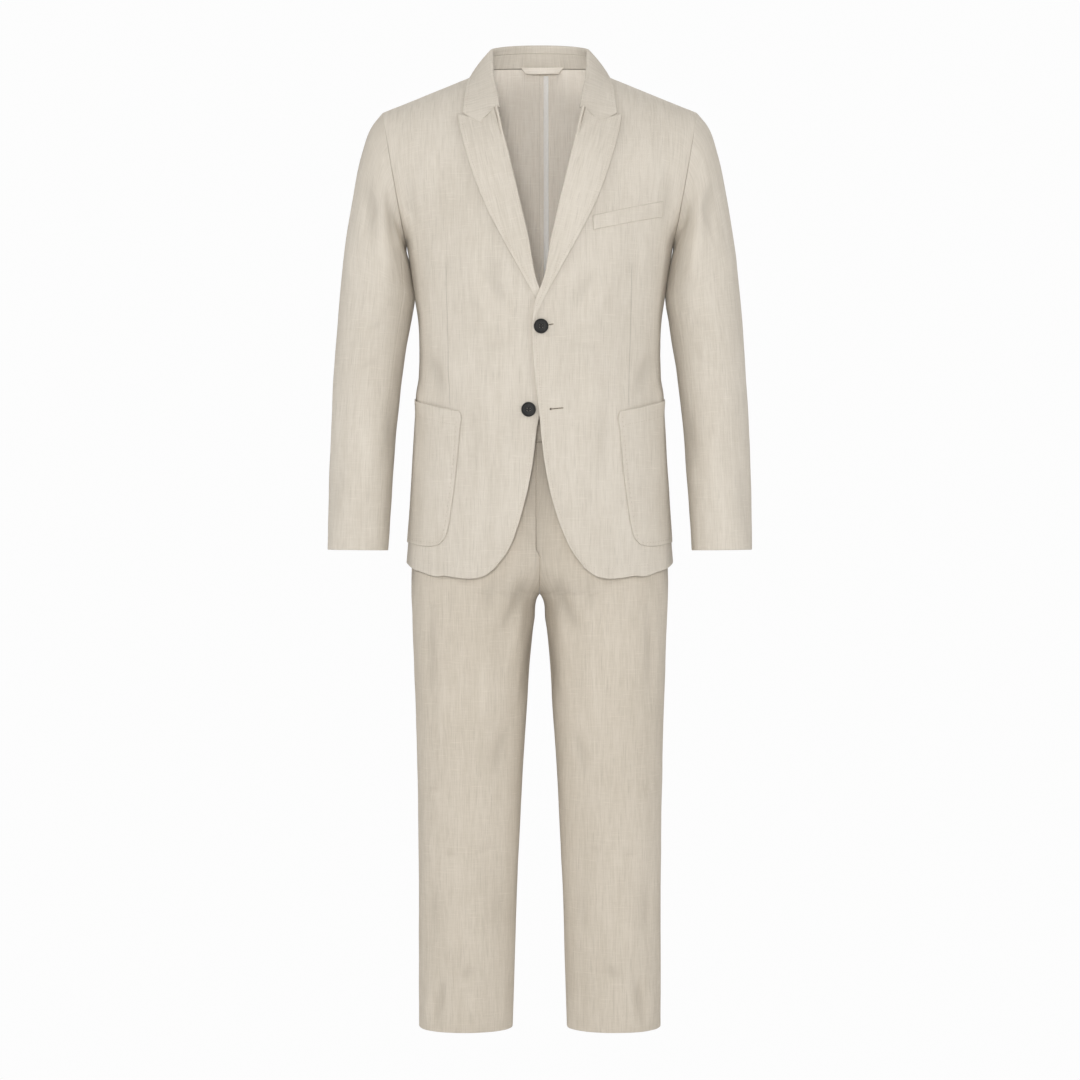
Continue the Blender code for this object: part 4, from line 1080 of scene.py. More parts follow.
def lapel_cut(grid):
    """Each point's place in a lapel: how far it lies from the roll, and its height along the roll."""
    roll = grid[0, ROLL_STEPS]
    up = unit(grid[-1, ROLL_STEPS] - roll)
    middle = len(grid) // 2
    aside = grid[middle, -1] - grid[middle, ROLL_STEPS]
    aside = unit(aside - up * (aside @ up))
    across, height = (grid - roll) @ aside, (grid - roll) @ up
    turned = steps_along(grid[:, :ROLL_STEPS + 1], 1)[:, ::-1]
    across[:, :ROLL_STEPS] = across[:, ROLL_STEPS:ROLL_STEPS + 1] - np.cumsum(turned, axis=1)[:, ::-1]
    return np.stack((across, height), axis=-1)


def neck_line(share):
    """The neck seam, from the centre back to the top of the roll line."""
    share = np.asarray(share)
    back = back_neck(np.clip(share / SIDE_SHARE, 0, 1))
    seam = picked(NECK_EDGE[:1:-1], NECK_EDGE_COLUMNS, "x", "y", "z")
    front = along(seam, np.clip((share - SIDE_SHARE) / (1 - SIDE_SHARE), 0, 1))
    return np.where((share <= SIDE_SHARE)[:, None], back, front)


def collar_line(share, side_point, centre_point, front_points):
    """A line round the collar: a quarter of an ellipse at the back, then a curve to the front."""
    share = np.asarray(share)
    turn = np.clip(share / SIDE_SHARE, 0, 1) * math.pi / 2
    side_point = np.array(side_point)
    centre_point = np.array(centre_point)
    back = side_point + (centre_point - side_point) * np.cos(turn)[:, None]
    back[:, 0] = side_point[0] * np.sin(turn)
    forward = np.clip((share - SIDE_SHARE) / (1 - SIDE_SHARE), 0, 1)
    front = along(np.vstack((side_point, front_points)), forward)
    return np.where((share <= SIDE_SHARE)[:, None], back, front)


def both_sides(half_grid):
    """Join a left half, from the centre outwards, to its mirror image."""
    return np.concatenate((mirrored(half_grid[:, :0:-1]), half_grid), axis=1)


def stand_surface(share, rows):
    """Outside of the collar's stand, from the neck seam up to the fall's seam."""
    neck = neck_line(share)
    crest = collar_line(share, CREST_SIDE, CREST_CENTRE, CREST_FRONT)
    rise = unit(crest - neck)
    foot = neck + rise * STAND_CLEAR
    top = neck + (crest - neck) * STAND_PART
    return foot[None] + (top - foot)[None] * rows[:, None, None]


def fall_surface(share, rows, notched=1.0):
    """Inside of the fall, from the stand's top over the rounded crest and down to its edge."""
    neck = neck_line(share)
    crest = collar_line(share, CREST_SIDE, CREST_CENTRE, CREST_FRONT)
    edge = collar_line(share, FALL_SIDE, FALL_CENTRE, FALL_FRONT)
    start = neck + (crest - neck) * (STAND_PART + FALL_GAP_PART)
    outwards = unit((edge - crest) * np.array((1.0, 1.0, 0.0)))
    up = np.array((0.0, 0.0, 1.0))
    radius = FOLD_WIDTH / 2
    centre = crest + outwards * radius - up * radius
    line = [start, (start + centre - outwards * radius) / 2]
    for degrees in (180, 145, 105, 65, 30):
        turn = math.radians(degrees)
        line.append(centre + outwards * (radius * math.cos(turn)) + up * (radius * math.sin(turn)))
    front = np.array((GORGE_START, NOTCH_POINT, FALL_FRONT[-1]))
    turn = notched * ease((share - NOTCH_FROM) / (1 - NOTCH_FROM))[:, None]
    far_crest = crest + outwards * FOLD_WIDTH - up * FOLD_DROP
    for part in (0.12, 0.25, 0.36, 0.47, 0.6, 0.75, 0.88, 1.0):
        row = far_crest + (edge - far_crest) * part + outwards * (FALL_ROUND * 4 * part * (1 - part))
        bend = np.array([np.interp(part, (0, NOTCH_PART, 1), front[:, axis]) for axis in range(3)])
        bend -= front[0] + (front[2] - front[0]) * part
        line.append(row + bend * turn)
    line = np.array(line)
    knots = added_up(steps_along(line).mean(axis=1))
    return smooth_through(knots, line, rows * knots[-1])


def unbent_places(grid, plain):
    """Each point's place in a strip whose ends were cut to shape, by its shift from the uncut strip."""
    flat = strip_places(plain)[..., ::-1].copy()
    shift = grid - plain
    for axis in (0, 1):
        flat[..., axis] += (shift * unit(np.gradient(plain, axis=1 - axis))).sum(axis=-1)
    return flat


def push_clear(grid, tree, clearance):
    """Move the points that lie inside or near a surface out to a clearance from it."""
    grid = grid.copy()
    for index in np.ndindex(grid.shape[:2]):
        point = Vector(grid[index])
        near, normal, _, _ = tree.find_nearest(point)
        height = (point - near).dot(normal)
        if height < clearance:
            grid[index] = point + normal * (clearance - height)
    return grid


def drawn_to(grid, tree, height, weight):
    """Draw points towards one height over a surface, each by its weight."""
    grid = grid.copy()
    for index in zip(*np.nonzero(weight > 0.01)):
        point = Vector(grid[index])
        near, normal, _, _ = tree.find_nearest(point)
        grid[index] = point + normal * ((height - (point - near).dot(normal)) * weight[index])
    return grid


def pocket_surface(share, across):
    """Places of the patch pocket on the body, on the left front."""
    side_angle = math.radians(POCKET_SIDE_DEGREES)
    left = front_places(*along(POCKET_INNER_EDGE, share).T)
    bottom = front_places(*along(POCKET_BOTTOM, across).T)
    bottom[:, 0] += (side_angle - bottom[-1, 0]) * across**4
    side_z = bottom[-1, 1] + (POCKET_SIDE_TOP_Z - bottom[-1, 1]) * share
    right = np.stack((np.full(len(share), side_angle), side_z), axis=-1)
    top = left[-1] + (right[-1] - left[-1]) * across[:, None]
    flat = patch_between(left, right, bottom, top, share, across)
    return torso(flat[..., 0], flat[..., 1], "front")


def settled(grid, tree):
    """Move each point of a grid to the nearest place on a surface."""
    near_grid = np.zeros_like(grid)
    for index in np.ndindex(grid.shape[:2]):
        near, _, _, _ = tree.find_nearest(Vector(grid[index]))
        near_grid[index] = near
    return near_grid


def build_fronts(linen, inside):
    """Both fronts, each with its own folds; gives back their outsides and search trees."""
    made = {}
    for word, side, shift in (("left", 1.0, 0.0), ("right", -1.0, 2730.0)):
        grid, normals, flat, cut, crease = dress_front(word)
        outer = turned_in(grid, normals, ("right", "top"))
        outer = turned_in(outer, normals, ("left", "bottom"), FOLD_DIPS)
        outer = flush_armhole(outer, grid, normals, len(marks(BODY_HEIGHT, end=False)))
        inner = grid - normals * SHELL
        turn = np.array((side, 1.0, 1.0))
        shell(f"jacket_front_{word}_cloth", outer * turn, inner * turn, flat + shift, f"jacket_front_{word}",
              linen, inside=inside, crease=crease)
        made[word] = (grid, normals, surface_tree([(grid, 1.0)]))
    return made


def build_backs(linen, inside, tape):
    columns = marks(BACK_WIDTH)
    lower = marks(BODY_HEIGHT, end=False)
    upper = marks(CHEST_HEIGHT, start=False)
    base = softened(back_surface(columns, lower, upper), len(lower) - 1)
    flat = flat_places(base, 0.0, len(lower) - 1)
    fade = panel_fade(base, ("left", "right", "top"))
    shoulder = columns > BACK_NECK_SHARE
    trees = {}
    for word, side, shift, phase in (("left", 1.0, 5210.0, 1.2), ("right", -1.0, 8030.0, 4.4)):
        normals = -grid_normals(base)
        crease = folds(base, BACK_FOLDS) * fade
        grid = creased(base, normals, crease + waves(flat, phase) * fade)
        normals = -grid_normals(grid)
        normals[:, -1] = flatten(normals[:, -1], 1)
        normals[-1, shoulder] = flatten(normals[-1, shoulder], 1)
        normals[:, 0] = flatten(normals[:, 0], 0)
        grid[:len(lower), -1, 1] += SEAM_GAP / 2
        grid[-1, shoulder, 1] += SEAM_GAP / 2
        grid[:, 0, 0] += SEAM_GAP / 2
        outer = turned_in(grid, normals, ("left", "right", "top"))
        outer = turned_in(outer, normals, ("bottom",), FOLD_DIPS)
        outer = flush_armhole(outer, grid, normals, len(lower))
        inner = grid - normals * SHELL
        turn = np.array((side, 1.0, 1.0))
        trees[word] = (grid, surface_tree([(grid, -1.0)]))
        trims = []
        if word == "left":
            trims = [build_seam_tape(trees[word][1], tape), build_hanger_loop(inside)]
        piece = shell(f"jacket_back_{word}_cloth", outer * turn, inner * turn, flat + shift, f"jacket_back_{word}",
                      linen, inside=inside, crease=crease)
    return trees


def sleeve_fold_shift(grid, turns):
    """The sleeve's folds, its front half and its back half each with their own."""
    front = ease(0.5 + 0.8 * np.sin(turns))[None, :]
    return folds(grid, SLEEVE_FRONT_FOLDS) * front + folds(grid, SLEEVE_BACK_FOLDS) * (1 - front)


def build_sleeves(linen):
    top_half = FOREARM_DEGREES - HINDARM_DEGREES
    under_half = 360.0 - top_half
    top = HINDARM_DEGREES + top_half * marks(SLEEVE_GIRTH * top_half / 360)
    under = FOREARM_DEGREES + under_half * marks(SLEEVE_GIRTH * under_half / 360)
    forearm = len(top) - 1
    turns = np.radians(np.concatenate((top, under[1:-1])))
    shares = marks(SLEEVE_LENGTH)
    base = sleeve_surface(turns, shares)
    closed = np.concatenate((base, base[:, :1]), axis=1)
    around = added_up(steps_along(closed, 1), 1)
    around -= around[:, [np.argmin(np.abs(turns - math.radians(SLEEVE_GRAIN_DEGREES)))]]
    along_length = added_up(steps_along(base).mean(axis=1))
    flat = np.stack(np.broadcast_arrays(around, -along_length[:, None]), axis=-1)
    fade = ease(along_length / 26.0)[:, None]
    for word, side, shift, phase in (("left", 1.0, 11150.0, 0.4), ("right", -1.0, 14470.0, 3.3)):
        normals = grid_normals(base, ring=True)
        crease = sleeve_fold_shift(base, turns) * fade
        grid = creased(base, normals, crease + waves(flat[:, :-1], phase) * fade)
        normals = grid_normals(grid, ring=True)
        radial = unit(grid[0] - ARMHOLE_CENTRE)
        normals[0] = radial
        outer = turned_in(grid, normals, ("bottom",), ARMHOLE_DIPS)
        outer = turned_in(outer, normals, ("top",), FOLD_DIPS)
        for seam in (0, forearm):
            for ring, dip in enumerate(SEAM_DIPS[:2]):
                for place in {(seam - ring) % len(turns), (seam + ring) % len(turns)}:
                    outer[:, place] -= normals[:, place] * dip * 0.6
        inner = grid - normals * SHELL
        turn = np.array((side, 1.0, 1.0))
        shell(f"sleeve_{word}_cloth", outer * turn, inner * turn, flat + shift, f"sleeve_{word}",
              linen, ring=True,
              crease=crease)


def build_trousers(linen):
    rows = marks(TROUSER_LENGTH)
    for number, (half, word, side) in enumerate((("front", "left", 1.0), ("front", "right", -1.0),
                                                 ("back", "left", 1.0), ("back", "right", -1.0))):
        outwards = -1.0 if half == "front" else 1.0
        base = trouser_surface(half, side, marks(TROUSER_PANEL_WIDTH), rows)
        flat = flat_places(base, LEG_GRAIN_X)
        table = TROUSER_FRONT_FOLDS if half == "front" else TROUSER_BACK_FOLDS
        fade = panel_fade(base, ("left", "right", "top"), 9.0)
        normals = -outwards * grid_normals(base)
        crease = folds(base, table) * fade
        grid = creased(base, normals, crease + waves(flat, 0.9 + 1.7 * number) * fade)
        normals = -outwards * grid_normals(grid)
        open_leg = (base[:, 0, 0] > INSEAM_START_X) & (base[:, 0, 2] < CROTCH_Z)
        normals[:, -1] = flatten(normals[:, -1], 1)
        normals[open_leg, 0] = flatten(normals[open_leg, 0], 1)
        normals[~open_leg, 0] = flatten(normals[~open_leg, 0], 0)
        grid[:, -1, 1] += outwards * SEAM_GAP / 2
        grid[open_leg, 0, 1] += outwards * SEAM_GAP / 2
        grid[~open_leg, 0, 0] += SEAM_GAP / 2
        outer = turned_in(grid, normals, ("right", "top"))
        outer = turned_in(outer, normals, ("left",), FOLD_DIPS if half == "front" else SEAM_DIPS)
        outer = turned_in(outer, normals, ("bottom",), FOLD_DIPS)
        inner = grid - normals * SHELL
        turn = np.array((side, 1.0, 1.0))
        shell(f"trouser_{half}_{word}_cloth", outer * turn, inner * turn, flat + 17300.0 + 3170.0 * number,
              f"trouser_{half}_{word}", linen,
              crease=crease)
        if half == "front":
            TROUSER_FRONTS[word] = (grid * turn, normals * turn)


def build_waistband(linen):
    """A straight band round the waist, its ends meeting above the fly."""
    half_width = BAND_HALF_WIDTH
    lap = math.asin((FLY_LAP / half_width) ** (TROUSER_SQUARENESS / 2))
    gap = SEAM_GAP / half_width
    turns = -lap + gap + (2 * math.pi - 2 * gap) * marks(840.0, 3.6)
    heights = BAND_BOTTOM_Z + (BAND_TOP_Z - BAND_BOTTOM_Z) * marks(BAND_TOP_Z - BAND_BOTTOM_Z, TRIM_STEP)
    x = half_width * power(np.sin(turns), 2 / TROUSER_SQUARENESS)
    reach = power(np.cos(turns), 2 / TROUSER_SQUARENESS)
    y = np.where(reach > 0, -BAND_FRONT * reach, -BAND_BACK * reach)
    grid = np.array([np.stack((x, y, np.full_like(x, z)), axis=-1) for z in heights])
    flat = strip_places(grid)
    normals = grid_normals(grid)
    outer = turned_in(grid, normals, ("left", "right", "bottom"))
    outer = turned_in(outer, normals, ("top",), FOLD_DIPS)
    shell("waistband_cloth", outer, grid - normals * SHELL, flat + 29000.0, "waistband",
          linen)


def build_lapels(fronts, linen):
    for word, side, shift in (("left", 1.0, 31000.0), ("right", -1.0, 33100.0)):
        outer, inner, flat = dress_lapel(fronts[word][2], word)
        turn = np.array((side, 1.0, 1.0))
        shell(f"lapel_{word}_cloth", outer * turn, inner * turn, flat + shift, f"lapel_{word}",
              linen)
        LAPELS[word] = (outer, outward(grid_normals(outer)), turn)


def build_collar(body_tree, linen):
    share = STAND_END * marks(COLLAR_LENGTH * STAND_END, TRIM_STEP, start=False)
    rows = marks(24.0, 1.6)
    grid = both_sides(stand_surface(share, rows))
    normals = grid_normals(grid)
    normals *= np.sign(normals[:, len(share) - 1, 1].mean())
    flat = strip_places(grid)[..., ::-1]
    inner = turned_in(grid - normals * SHELL, -normals, ("bottom", "top"), (0.5, 0.2, 0.0))
    shell("collar_stand_cloth", grid, inner, flat + 35300.0, "collar_stand", linen)
    share = marks(COLLAR_LENGTH, TRIM_STEP, start=False)
    rows = marks(66.0, 1.5)
    half = fall_surface(share, rows)
    low = rows > 0.3
    half[low] = push_clear(half[low], body_tree, LAY_HEIGHT)
    pull = ease((share - GORGE_FLUSH_FROM) / (1 - GORGE_FLUSH_FROM))[None, :]
    pull = pull * ease((rows - 0.34) / 0.2)[:, None]
    half = drawn_to(half, body_tree, LAPEL_LAYS_AT + 0.1, pull)
    for _ in range(2):
        half[low, 1:-1] = (half[low, :-2] + 2 * half[low, 1:-1] + half[low, 2:]) / 4
    grid = both_sides(half)
    normals = grid_normals(grid)
    normals *= np.sign(normals[-2, len(share) - 1, 1])
    flat = unbent_places(grid, both_sides(fall_surface(share, rows, 0.0)))
    outer = turned_in(grid + normals * PRESSED_WALL, normals, ("left", "right", "top"), FOLD_DIPS)
    shell("collar_fall_cloth", outer, grid, flat + 36900.0, "collar_fall", linen)
    FALL["outer"] = (outer, normals)


def edge_distance(grid):
    """How far each point of a grid lies from the nearest of its side and bottom edges."""
    left = added_up(steps_along(grid, 1), 1)
    right = left[:, -1:] - left
    bottom = added_up(steps_along(grid))
    top = bottom[-1:] - bottom
    return np.minimum(np.minimum(left, right), bottom), top


def build_pockets(fronts, linen):
    share = marks(POCKET_HEIGHT, 2.2)
    across = marks(POCKET_WIDTH, 2.2)
    places = pocket_surface(share, across)
    for word, side, shift in (("left", 1.0, 38500.0), ("right", -1.0, 40100.0)):
        base = settled(places, fronts[word][2])
        for _ in range(4):
            base[1:-1, 1:-1] = (base[:-2, 1:-1] + base[2:, 1:-1] + base[1:-1, :-2] + base[1:-1, 2:]) / 4
        flat = flat_places(base, POCKET_GRAIN_X)
        normals = outward(grid_normals(base))
        sides, top = edge_distance(base)
        gape = POCKET_GAPE * np.exp(-top / 16.0) * ease(sides / 30.0)
        full = POCKET_FULLNESS * ease(sides / 34.0) + gape
        run = np.where(flat[..., 1] > flat[..., 1].min() + 14.0, flat[..., 1], flat[..., 0])
        pucker = 0.5 + 0.5 * np.cos(2 * math.pi * run / POCKET_STITCH)
        groove = POCKET_GROOVE * np.exp(-(((sides - PICK_INSET) / 1.5) ** 2))
        groove += POCKET_PUCKER * pucker * np.exp(-(((sides - PICK_INSET) / 2.6) ** 2)) * ease(top / 10.0)
        shift_out = LAY_HEIGHT + full - groove
        inner = base + normals * (LAY_HEIGHT + full - 0.4)[..., None] * 0.9
        outer = base + normals * (shift_out + POCKET_WALL)[..., None]
        outer_normals = outward(grid_normals(outer))
        rim = turned_in(outer, outer_normals, ("left", "right", "bottom", "top"), FOLD_DIPS)
        turn = np.array((side, 1.0, 1.0))
        shell(f"patch_pocket_{word}_cloth", rim * turn, inner * turn, flat + shift, f"patch_pocket_{word}",
              linen)
        POCKETS[word] = (outer, outer_normals, turn)


def build_breast_welt(front_tree, linen):
    across = marks(WELT_WIDTH, TRIM_STEP)[None, :, None]
    up = marks(WELT_HEIGHT, 1.8)[:, None, None]
    low_in, low_out, high_in, high_out = (np.array(corner) for corner in WELT_CORNERS)
    low = low_in + (low_out - low_in) * across
    high = high_in + (high_out - high_in) * across
    base = laid(front_tree, low + (high - low) * up)
    normals = outward(grid_normals(base))
    flat = flat_places(base, WELT_GRAIN_X)
    outer = turned_in(base + normals * 1.3, normals, ("left", "right", "bottom", "top"), FOLD_DIPS)
    inner = base + normals * 0.3
    shell("breast_welt_cloth", outer, inner, flat + 41500.0, "breast_welt", linen)


def build_hanger_loop(linen):
    """A strip across the inside of the back neck, sewn at its ends and bowed off in between."""
    share = 2 * marks(2 * LOOP_TOP_HALF, 1.2) - 1
    rows = []
    for part in marks(LOOP_TOP_Z - LOOP_BOTTOM_Z, 1.2):
        half_length = LOOP_BOTTOM_HALF + (LOOP_TOP_HALF - LOOP_BOTTOM_HALF) * part
        z = LOOP_BOTTOM_Z + (LOOP_TOP_Z - LOOP_BOTTOM_Z) * part
        x = LOOP_CENTRE_X + share * half_length
        slope = np.sqrt(1 - (x / SIDE_NECK[0]) ** 2)
        seam_y = SIDE_NECK[1] + (BACK_NECK[1] - SIDE_NECK[1]) * slope
        y = seam_y - (SHELL + LOOP_LIFT) / slope - LOOP_BOW * (1 - share**2)
        rows.append(np.stack((x, y, np.full_like(x, z) - 0.5 * (1 - share**2)), axis=-1))
    back = np.array(rows)
    front = back - np.array((0.0, PRESSED_WALL, 0.0))
    forward = np.broadcast_to((0.0, -1.0, 0.0), front.shape)
    front = turned_in(front, forward, ("bottom", "top"), (0.5, 0.12, 0.0))
    flat = strip_places(back)
    return shell("hanger_loop_cloth", back, front, flat + 43000.0, "hanger_loop", linen)


def build_seam_tape(back_tree, tape):
    """The bound edge of the centre back seam, pressed to the wearer's left inside the back."""
    heights = HEM_BACK_Z + TAPE_END_CLEAR + (TAPE_TOP_Z - HEM_BACK_Z - TAPE_END_CLEAR) * marks(750.0, 5.0)
    across = TAPE_INNER_X + (TAPE_OUTER_X - TAPE_INNER_X) * marks(TAPE_OUTER_X - TAPE_INNER_X, 1.5)
    grid = np.zeros((len(heights), len(across), 3))
    for row, z in enumerate(heights):
        for place, x in enumerate(across):
            hit, normal, _, _ = back_tree.ray_cast(Vector((x, 0.0, z)), Vector((0, 1, 0)))
            lift = 0.5 + TAPE_FREE_LIFT * (x - TAPE_INNER_X) / (TAPE_OUTER_X - TAPE_INNER_X)
            grid[row, place] = hit - normal * (SHELL + lift)
    normals = grid_normals(grid)
    normals *= -np.sign(normals[..., 1].mean())
    width = (across - across[0]) / (across[-1] - across[0])
    ridge = 0.35 * np.sin(math.pi * width)[None, :, None]
    front = grid + normals * (PRESSED_WALL + ridge)
    front = turned_in(front, normals, ("left", "right"), (0.6, 0.2, 0.0))
    flat = strip_places(np.swapaxes(grid, 0, 1))
    flat = np.swapaxes(flat, 0, 1)
    return shell("back_seam_tape_cloth", grid, front, flat + 44500.0, "back_seam_tape", tape)


# Sewing
def smooth_mesh(name, points, faces):
    """A smooth-shaded mesh from points in millimetres."""
    mesh = bpy.data.meshes.new(name)
    mesh.from_pydata((points * MM).tolist(), [], faces)
    mesh.shade_smooth()
    return mesh


def stitch_mesh(name, runs):
    """Short rounded stitches along some lines, each (points, normals, pitch, length, radius, sink)."""
    ring_places = np.array((-0.5, -0.34, 0.0, 0.34, 0.5))
    ring_radii = np.array((0.25, 0.85, 1.0, 0.85, 0.25))
    sides = 6
    turn = np.linspace(0, 2 * math.pi, sides, endpoint=False)
    points = []
    faces = []
    scatter = np.random.default_rng(len(name) * 7 + len(runs))
    for line, normals, pitch, length, radius, sink in runs:
        arc = added_up(steps_along(line))
        count = max(1, int((arc[-1] - length) / pitch))
        at = length / 2 + pitch * (np.arange(count) + 0.5)
        at = at + scatter.uniform(-0.12, 0.12, count) * pitch
        centre = np.stack([np.interp(at, arc, line[:, axis]) for axis in range(3)], axis=-1)
        ahead = np.stack([np.interp(at + 0.5, arc, line[:, axis]) for axis in range(3)], axis=-1)
        up = unit(np.stack([np.interp(at, arc, normals[:, axis]) for axis in range(3)], axis=-1))
        along_line = unit(ahead - centre)
        side = unit(np.cross(along_line, up))
        lean = scatter.uniform(-0.09, 0.09, count)[:, None]
        along_line = unit(along_line + side * lean)
        own_length = length * scatter.uniform(0.88, 1.1, count)
        for middle, forward, across, rise, reach in zip(centre - up * sink, along_line, side, up, own_length):
            start = len(points) * len(ring_places) * sides
            arch = radius * 0.7 * (1 - (2 * ring_places) ** 2)
            rings = (middle + forward * (ring_places * reach)[:, None] + rise * arch[:, None])[:, None, :]
            wheel = across * np.cos(turn)[:, None] + rise * np.sin(turn)[:, None] * 0.75
            points.append((rings + wheel[None] * (radius * ring_radii)[:, None, None]).reshape(-1, 3))
            corner = start + np.arange(len(ring_places) * sides).reshape(-1, sides)
            after = np.roll(corner, -1, axis=1)
            band = np.stack((corner[:-1], after[:-1], after[1:], corner[1:]), axis=-1).reshape(-1, 4)
            faces += band.tolist()
            faces += [corner[0, ::-1].tolist(), corner[-1].tolist()]
    return smooth_mesh(name, np.concatenate(points), faces)


def row_line(grid, normals, distance, side, start=0.0, end=1.0):
    """A line on a grid at some distance inside one of its edges, with the normals along it."""
    if side in ("bottom", "top"):
        grid, normals = np.swapaxes(grid, 0, 1), np.swapaxes(normals, 0, 1)
    if side in ("right", "top"):
        grid, normals = grid[:, ::-1], normals[:, ::-1]
    arc = added_up(steps_along(grid, 1), 1)
    points = []
    ups = []
    for row, up, length in zip(grid, normals, arc):
        points.append([np.interp(distance, length, row[:, axis]) for axis in range(3)])
        ups.append([np.interp(distance, length, up[:, axis]) for axis in range(3)])
    points, ups = np.array(points), np.array(ups)
    share = added_up(steps_along(points))
    keep = (share >= start * share[-1]) & (share <= end * share[-1])
    return points[keep], ups[keep]


def stitched(piece, distance, side, start, end, stitch):
    """A run of stitches on a dressed piece: its line, the normals along it, and the stitch."""
    grid, normals, turn = piece
    line, ups = row_line(grid, normals, distance, side, start, end)
    return (line * turn, ups * turn, *stitch)


def add_stitches(name, runs, material):
    return add_piece(name, stitch_mesh(name, runs), material, None)


def build_stitches(fronts, thread, trouser_thread):
    """Pick stitches round the pockets and down the edges, and the lines that hold the hems."""
    for word in ("left", "right"):
        outer, normals, turn = POCKETS[word]
        runs = []
        for side in ("left", "right", "bottom"):
            inset = PICK_INSET / steps_along(row_line(outer, normals, PICK_INSET, side)[0]).sum()
            end = 1 - inset if side == "bottom" else 1.0
            runs.append(stitched(POCKETS[word], PICK_INSET, side, inset, end, POCKET_PICK))
        runs.append(stitched(POCKETS[word], POCKET_HEM, "top", 0.05, 0.95, POCKET_HEM_STITCH))
        add_stitches(f"pocket_stitches_{word}", runs, thread)
        front = (*fronts[word][:2], turn)
        add_stitches(f"front_stitches_{word}", [
            stitched(front, PICK_INSET, "left", 0.0, 0.47, FRONT_PICK),
            stitched(front, JACKET_HEM, "bottom", 0.03, 0.985, JACKET_HEM_STITCH),
            stitched(LAPELS[word], PICK_INSET, "right", 0.05, 0.985, LAPEL_PICK),
            stitched(LAPELS[word], PICK_INSET, "top", 0.46, 0.95, LAPEL_PICK),
        ], thread)
        leg = (*TROUSER_FRONTS[word], 1.0)
        runs = [stitched(leg, TROUSER_HEM, "bottom", 0.02, 0.98, TROUSER_HEM_STITCH)]
        if word == "left":
            runs.append(stitched(leg, FLY_STITCH_INSET, "left", 0.815, 0.995, FLY_STITCH))
        add_stitches(f"trouser_stitches_{word}", runs, trouser_thread)
    fall = (*FALL["outer"], 1.0)
    add_stitches("collar_stitches", [stitched(fall, PICK_INSET, "top", 0.02, 0.98, LAPEL_PICK)], thread)


def tube_mesh(name, path, radius, sides=8, closed=True, ripple=0.0, turns=0):
    """A thread laid along a path, its thickness rippling where it is whipped over an edge."""
    path = np.asarray(path, float)
    count = len(path)
    ahead = np.roll(path, -1, axis=0) - np.roll(path, 1, axis=0) if closed else np.gradient(path, axis=0)
    forward = unit(ahead)
    side = unit(np.cross(forward, np.broadcast_to((0.0, -1.0, 0.0), forward.shape)))
    up = np.cross(side, forward)
    angle = np.linspace(0, 2 * math.pi, sides, endpoint=False)
    swell = radius * (1 + ripple * np.sin(2 * math.pi * turns * np.arange(count) / count))
    wheel = side[:, None] * np.cos(angle)[None, :, None] + up[:, None] * np.sin(angle)[None, :, None]
    rings = path[:, None] + wheel * swell[:, None, None]
    corner = np.arange(count * sides).reshape(count, sides)
    after = np.roll(corner, -1, axis=1)
    first, second = (corner, np.roll(corner, -1, axis=0)) if closed else (corner[:-1], corner[1:])
    first_after, second_after = (after, np.roll(after, -1, axis=0)) if closed else (after[:-1], after[1:])
    faces = np.stack((first, second, second_after, first_after), axis=-1).reshape(-1, 4).tolist()
    if not closed:
        faces += [corner[0].tolist(), corner[-1, ::-1].tolist()]
    return smooth_mesh(name, rings.reshape(-1, 3), faces)


def hole_path(tree, start, end, half_width, eyelet, lift, forward):
    """A closed path round a buttonhole on the front, with a round eyelet at its start."""
    start, end = np.array(start), np.array(end)
    line = unit((end - start)[None])[0]
    across = np.array((-line[1], line[0]))
    length = np.linalg.norm(end - start)
    places = []
    for share in np.linspace(0, 1, 40):
        swell = max(half_width, math.sqrt(max(0.0, eyelet**2 - (share * length - eyelet) ** 2)))
        taper = math.sqrt(max(0.0, 1 - max(0.0, (share - 0.93) / 0.07) ** 2))
        places.append(start + line * (share * length) + across * swell * max(taper, 0.25))
    back = [2 * (start + line * ((place - start) @ line)) - place for place in places[::-1]]
    path = []
    for x, z in places + back:
        point, normal = on_front(tree, x, z)
        path.append(point + normal * lift - np.array((0.0, forward, 0.0)))
    return np.array(path)


def build_buttonholes(front_tree, thread, dark):
    """Two keyhole buttonholes in the left front: thread lips round a dark solid that paints the shadow inside the
    cut.
    """
    for name, start, end, eyelet in (("top", (7.0, -384.0), (20.0, -381.6), 0.7),
                                     ("lower", (14.3, -505.6), (34.5, -503.6), 1.35)):
        lip = hole_path(front_tree, start, end, 0.75, eyelet + 0.45, 0.06, 0.0)
        add_piece(f"buttonhole_{name}_lip", tube_mesh(f"buttonhole_{name}_lip", lip, 0.38, 8, True, 0.22, 40),
                  thread, None)
        # Painted shadow: a thin dark solid fills the slit in place of a real hole
        cut = hole_path(front_tree, start, end, 0.3, eyelet, 0.12, 0.0)
        half = len(cut) // 2
        faces = [[k, k + 1, len(cut) - 2 - k, len(cut) - 1 - k] for k in range(half - 1)]
        thick = np.array((0.0, 0.5, 0.0))
        points = np.concatenate((cut - thick * 0.1, cut + thick))
        count = len(cut)
        under = [[index + count for index in face[::-1]] for face in faces]
        rim = [[k, k + count, (k + 1) % count + count, (k + 1) % count] for k in range(count)]
        mesh = bpy.data.meshes.new(f"buttonhole_{name}_cut")
        mesh.from_pydata((points * MM).tolist(), [], faces + under + rim)
        fix_normals(mesh)
        add_piece(f"buttonhole_{name}_cut", mesh, dark, None)


def fix_normals(mesh):
    """Point a small closed mesh's faces outwards."""
    work = bmesh.new()
    work.from_mesh(mesh)
    bmesh.ops.recalc_face_normals(work, faces=work.faces)
    work.to_mesh(mesh)
    work.free()


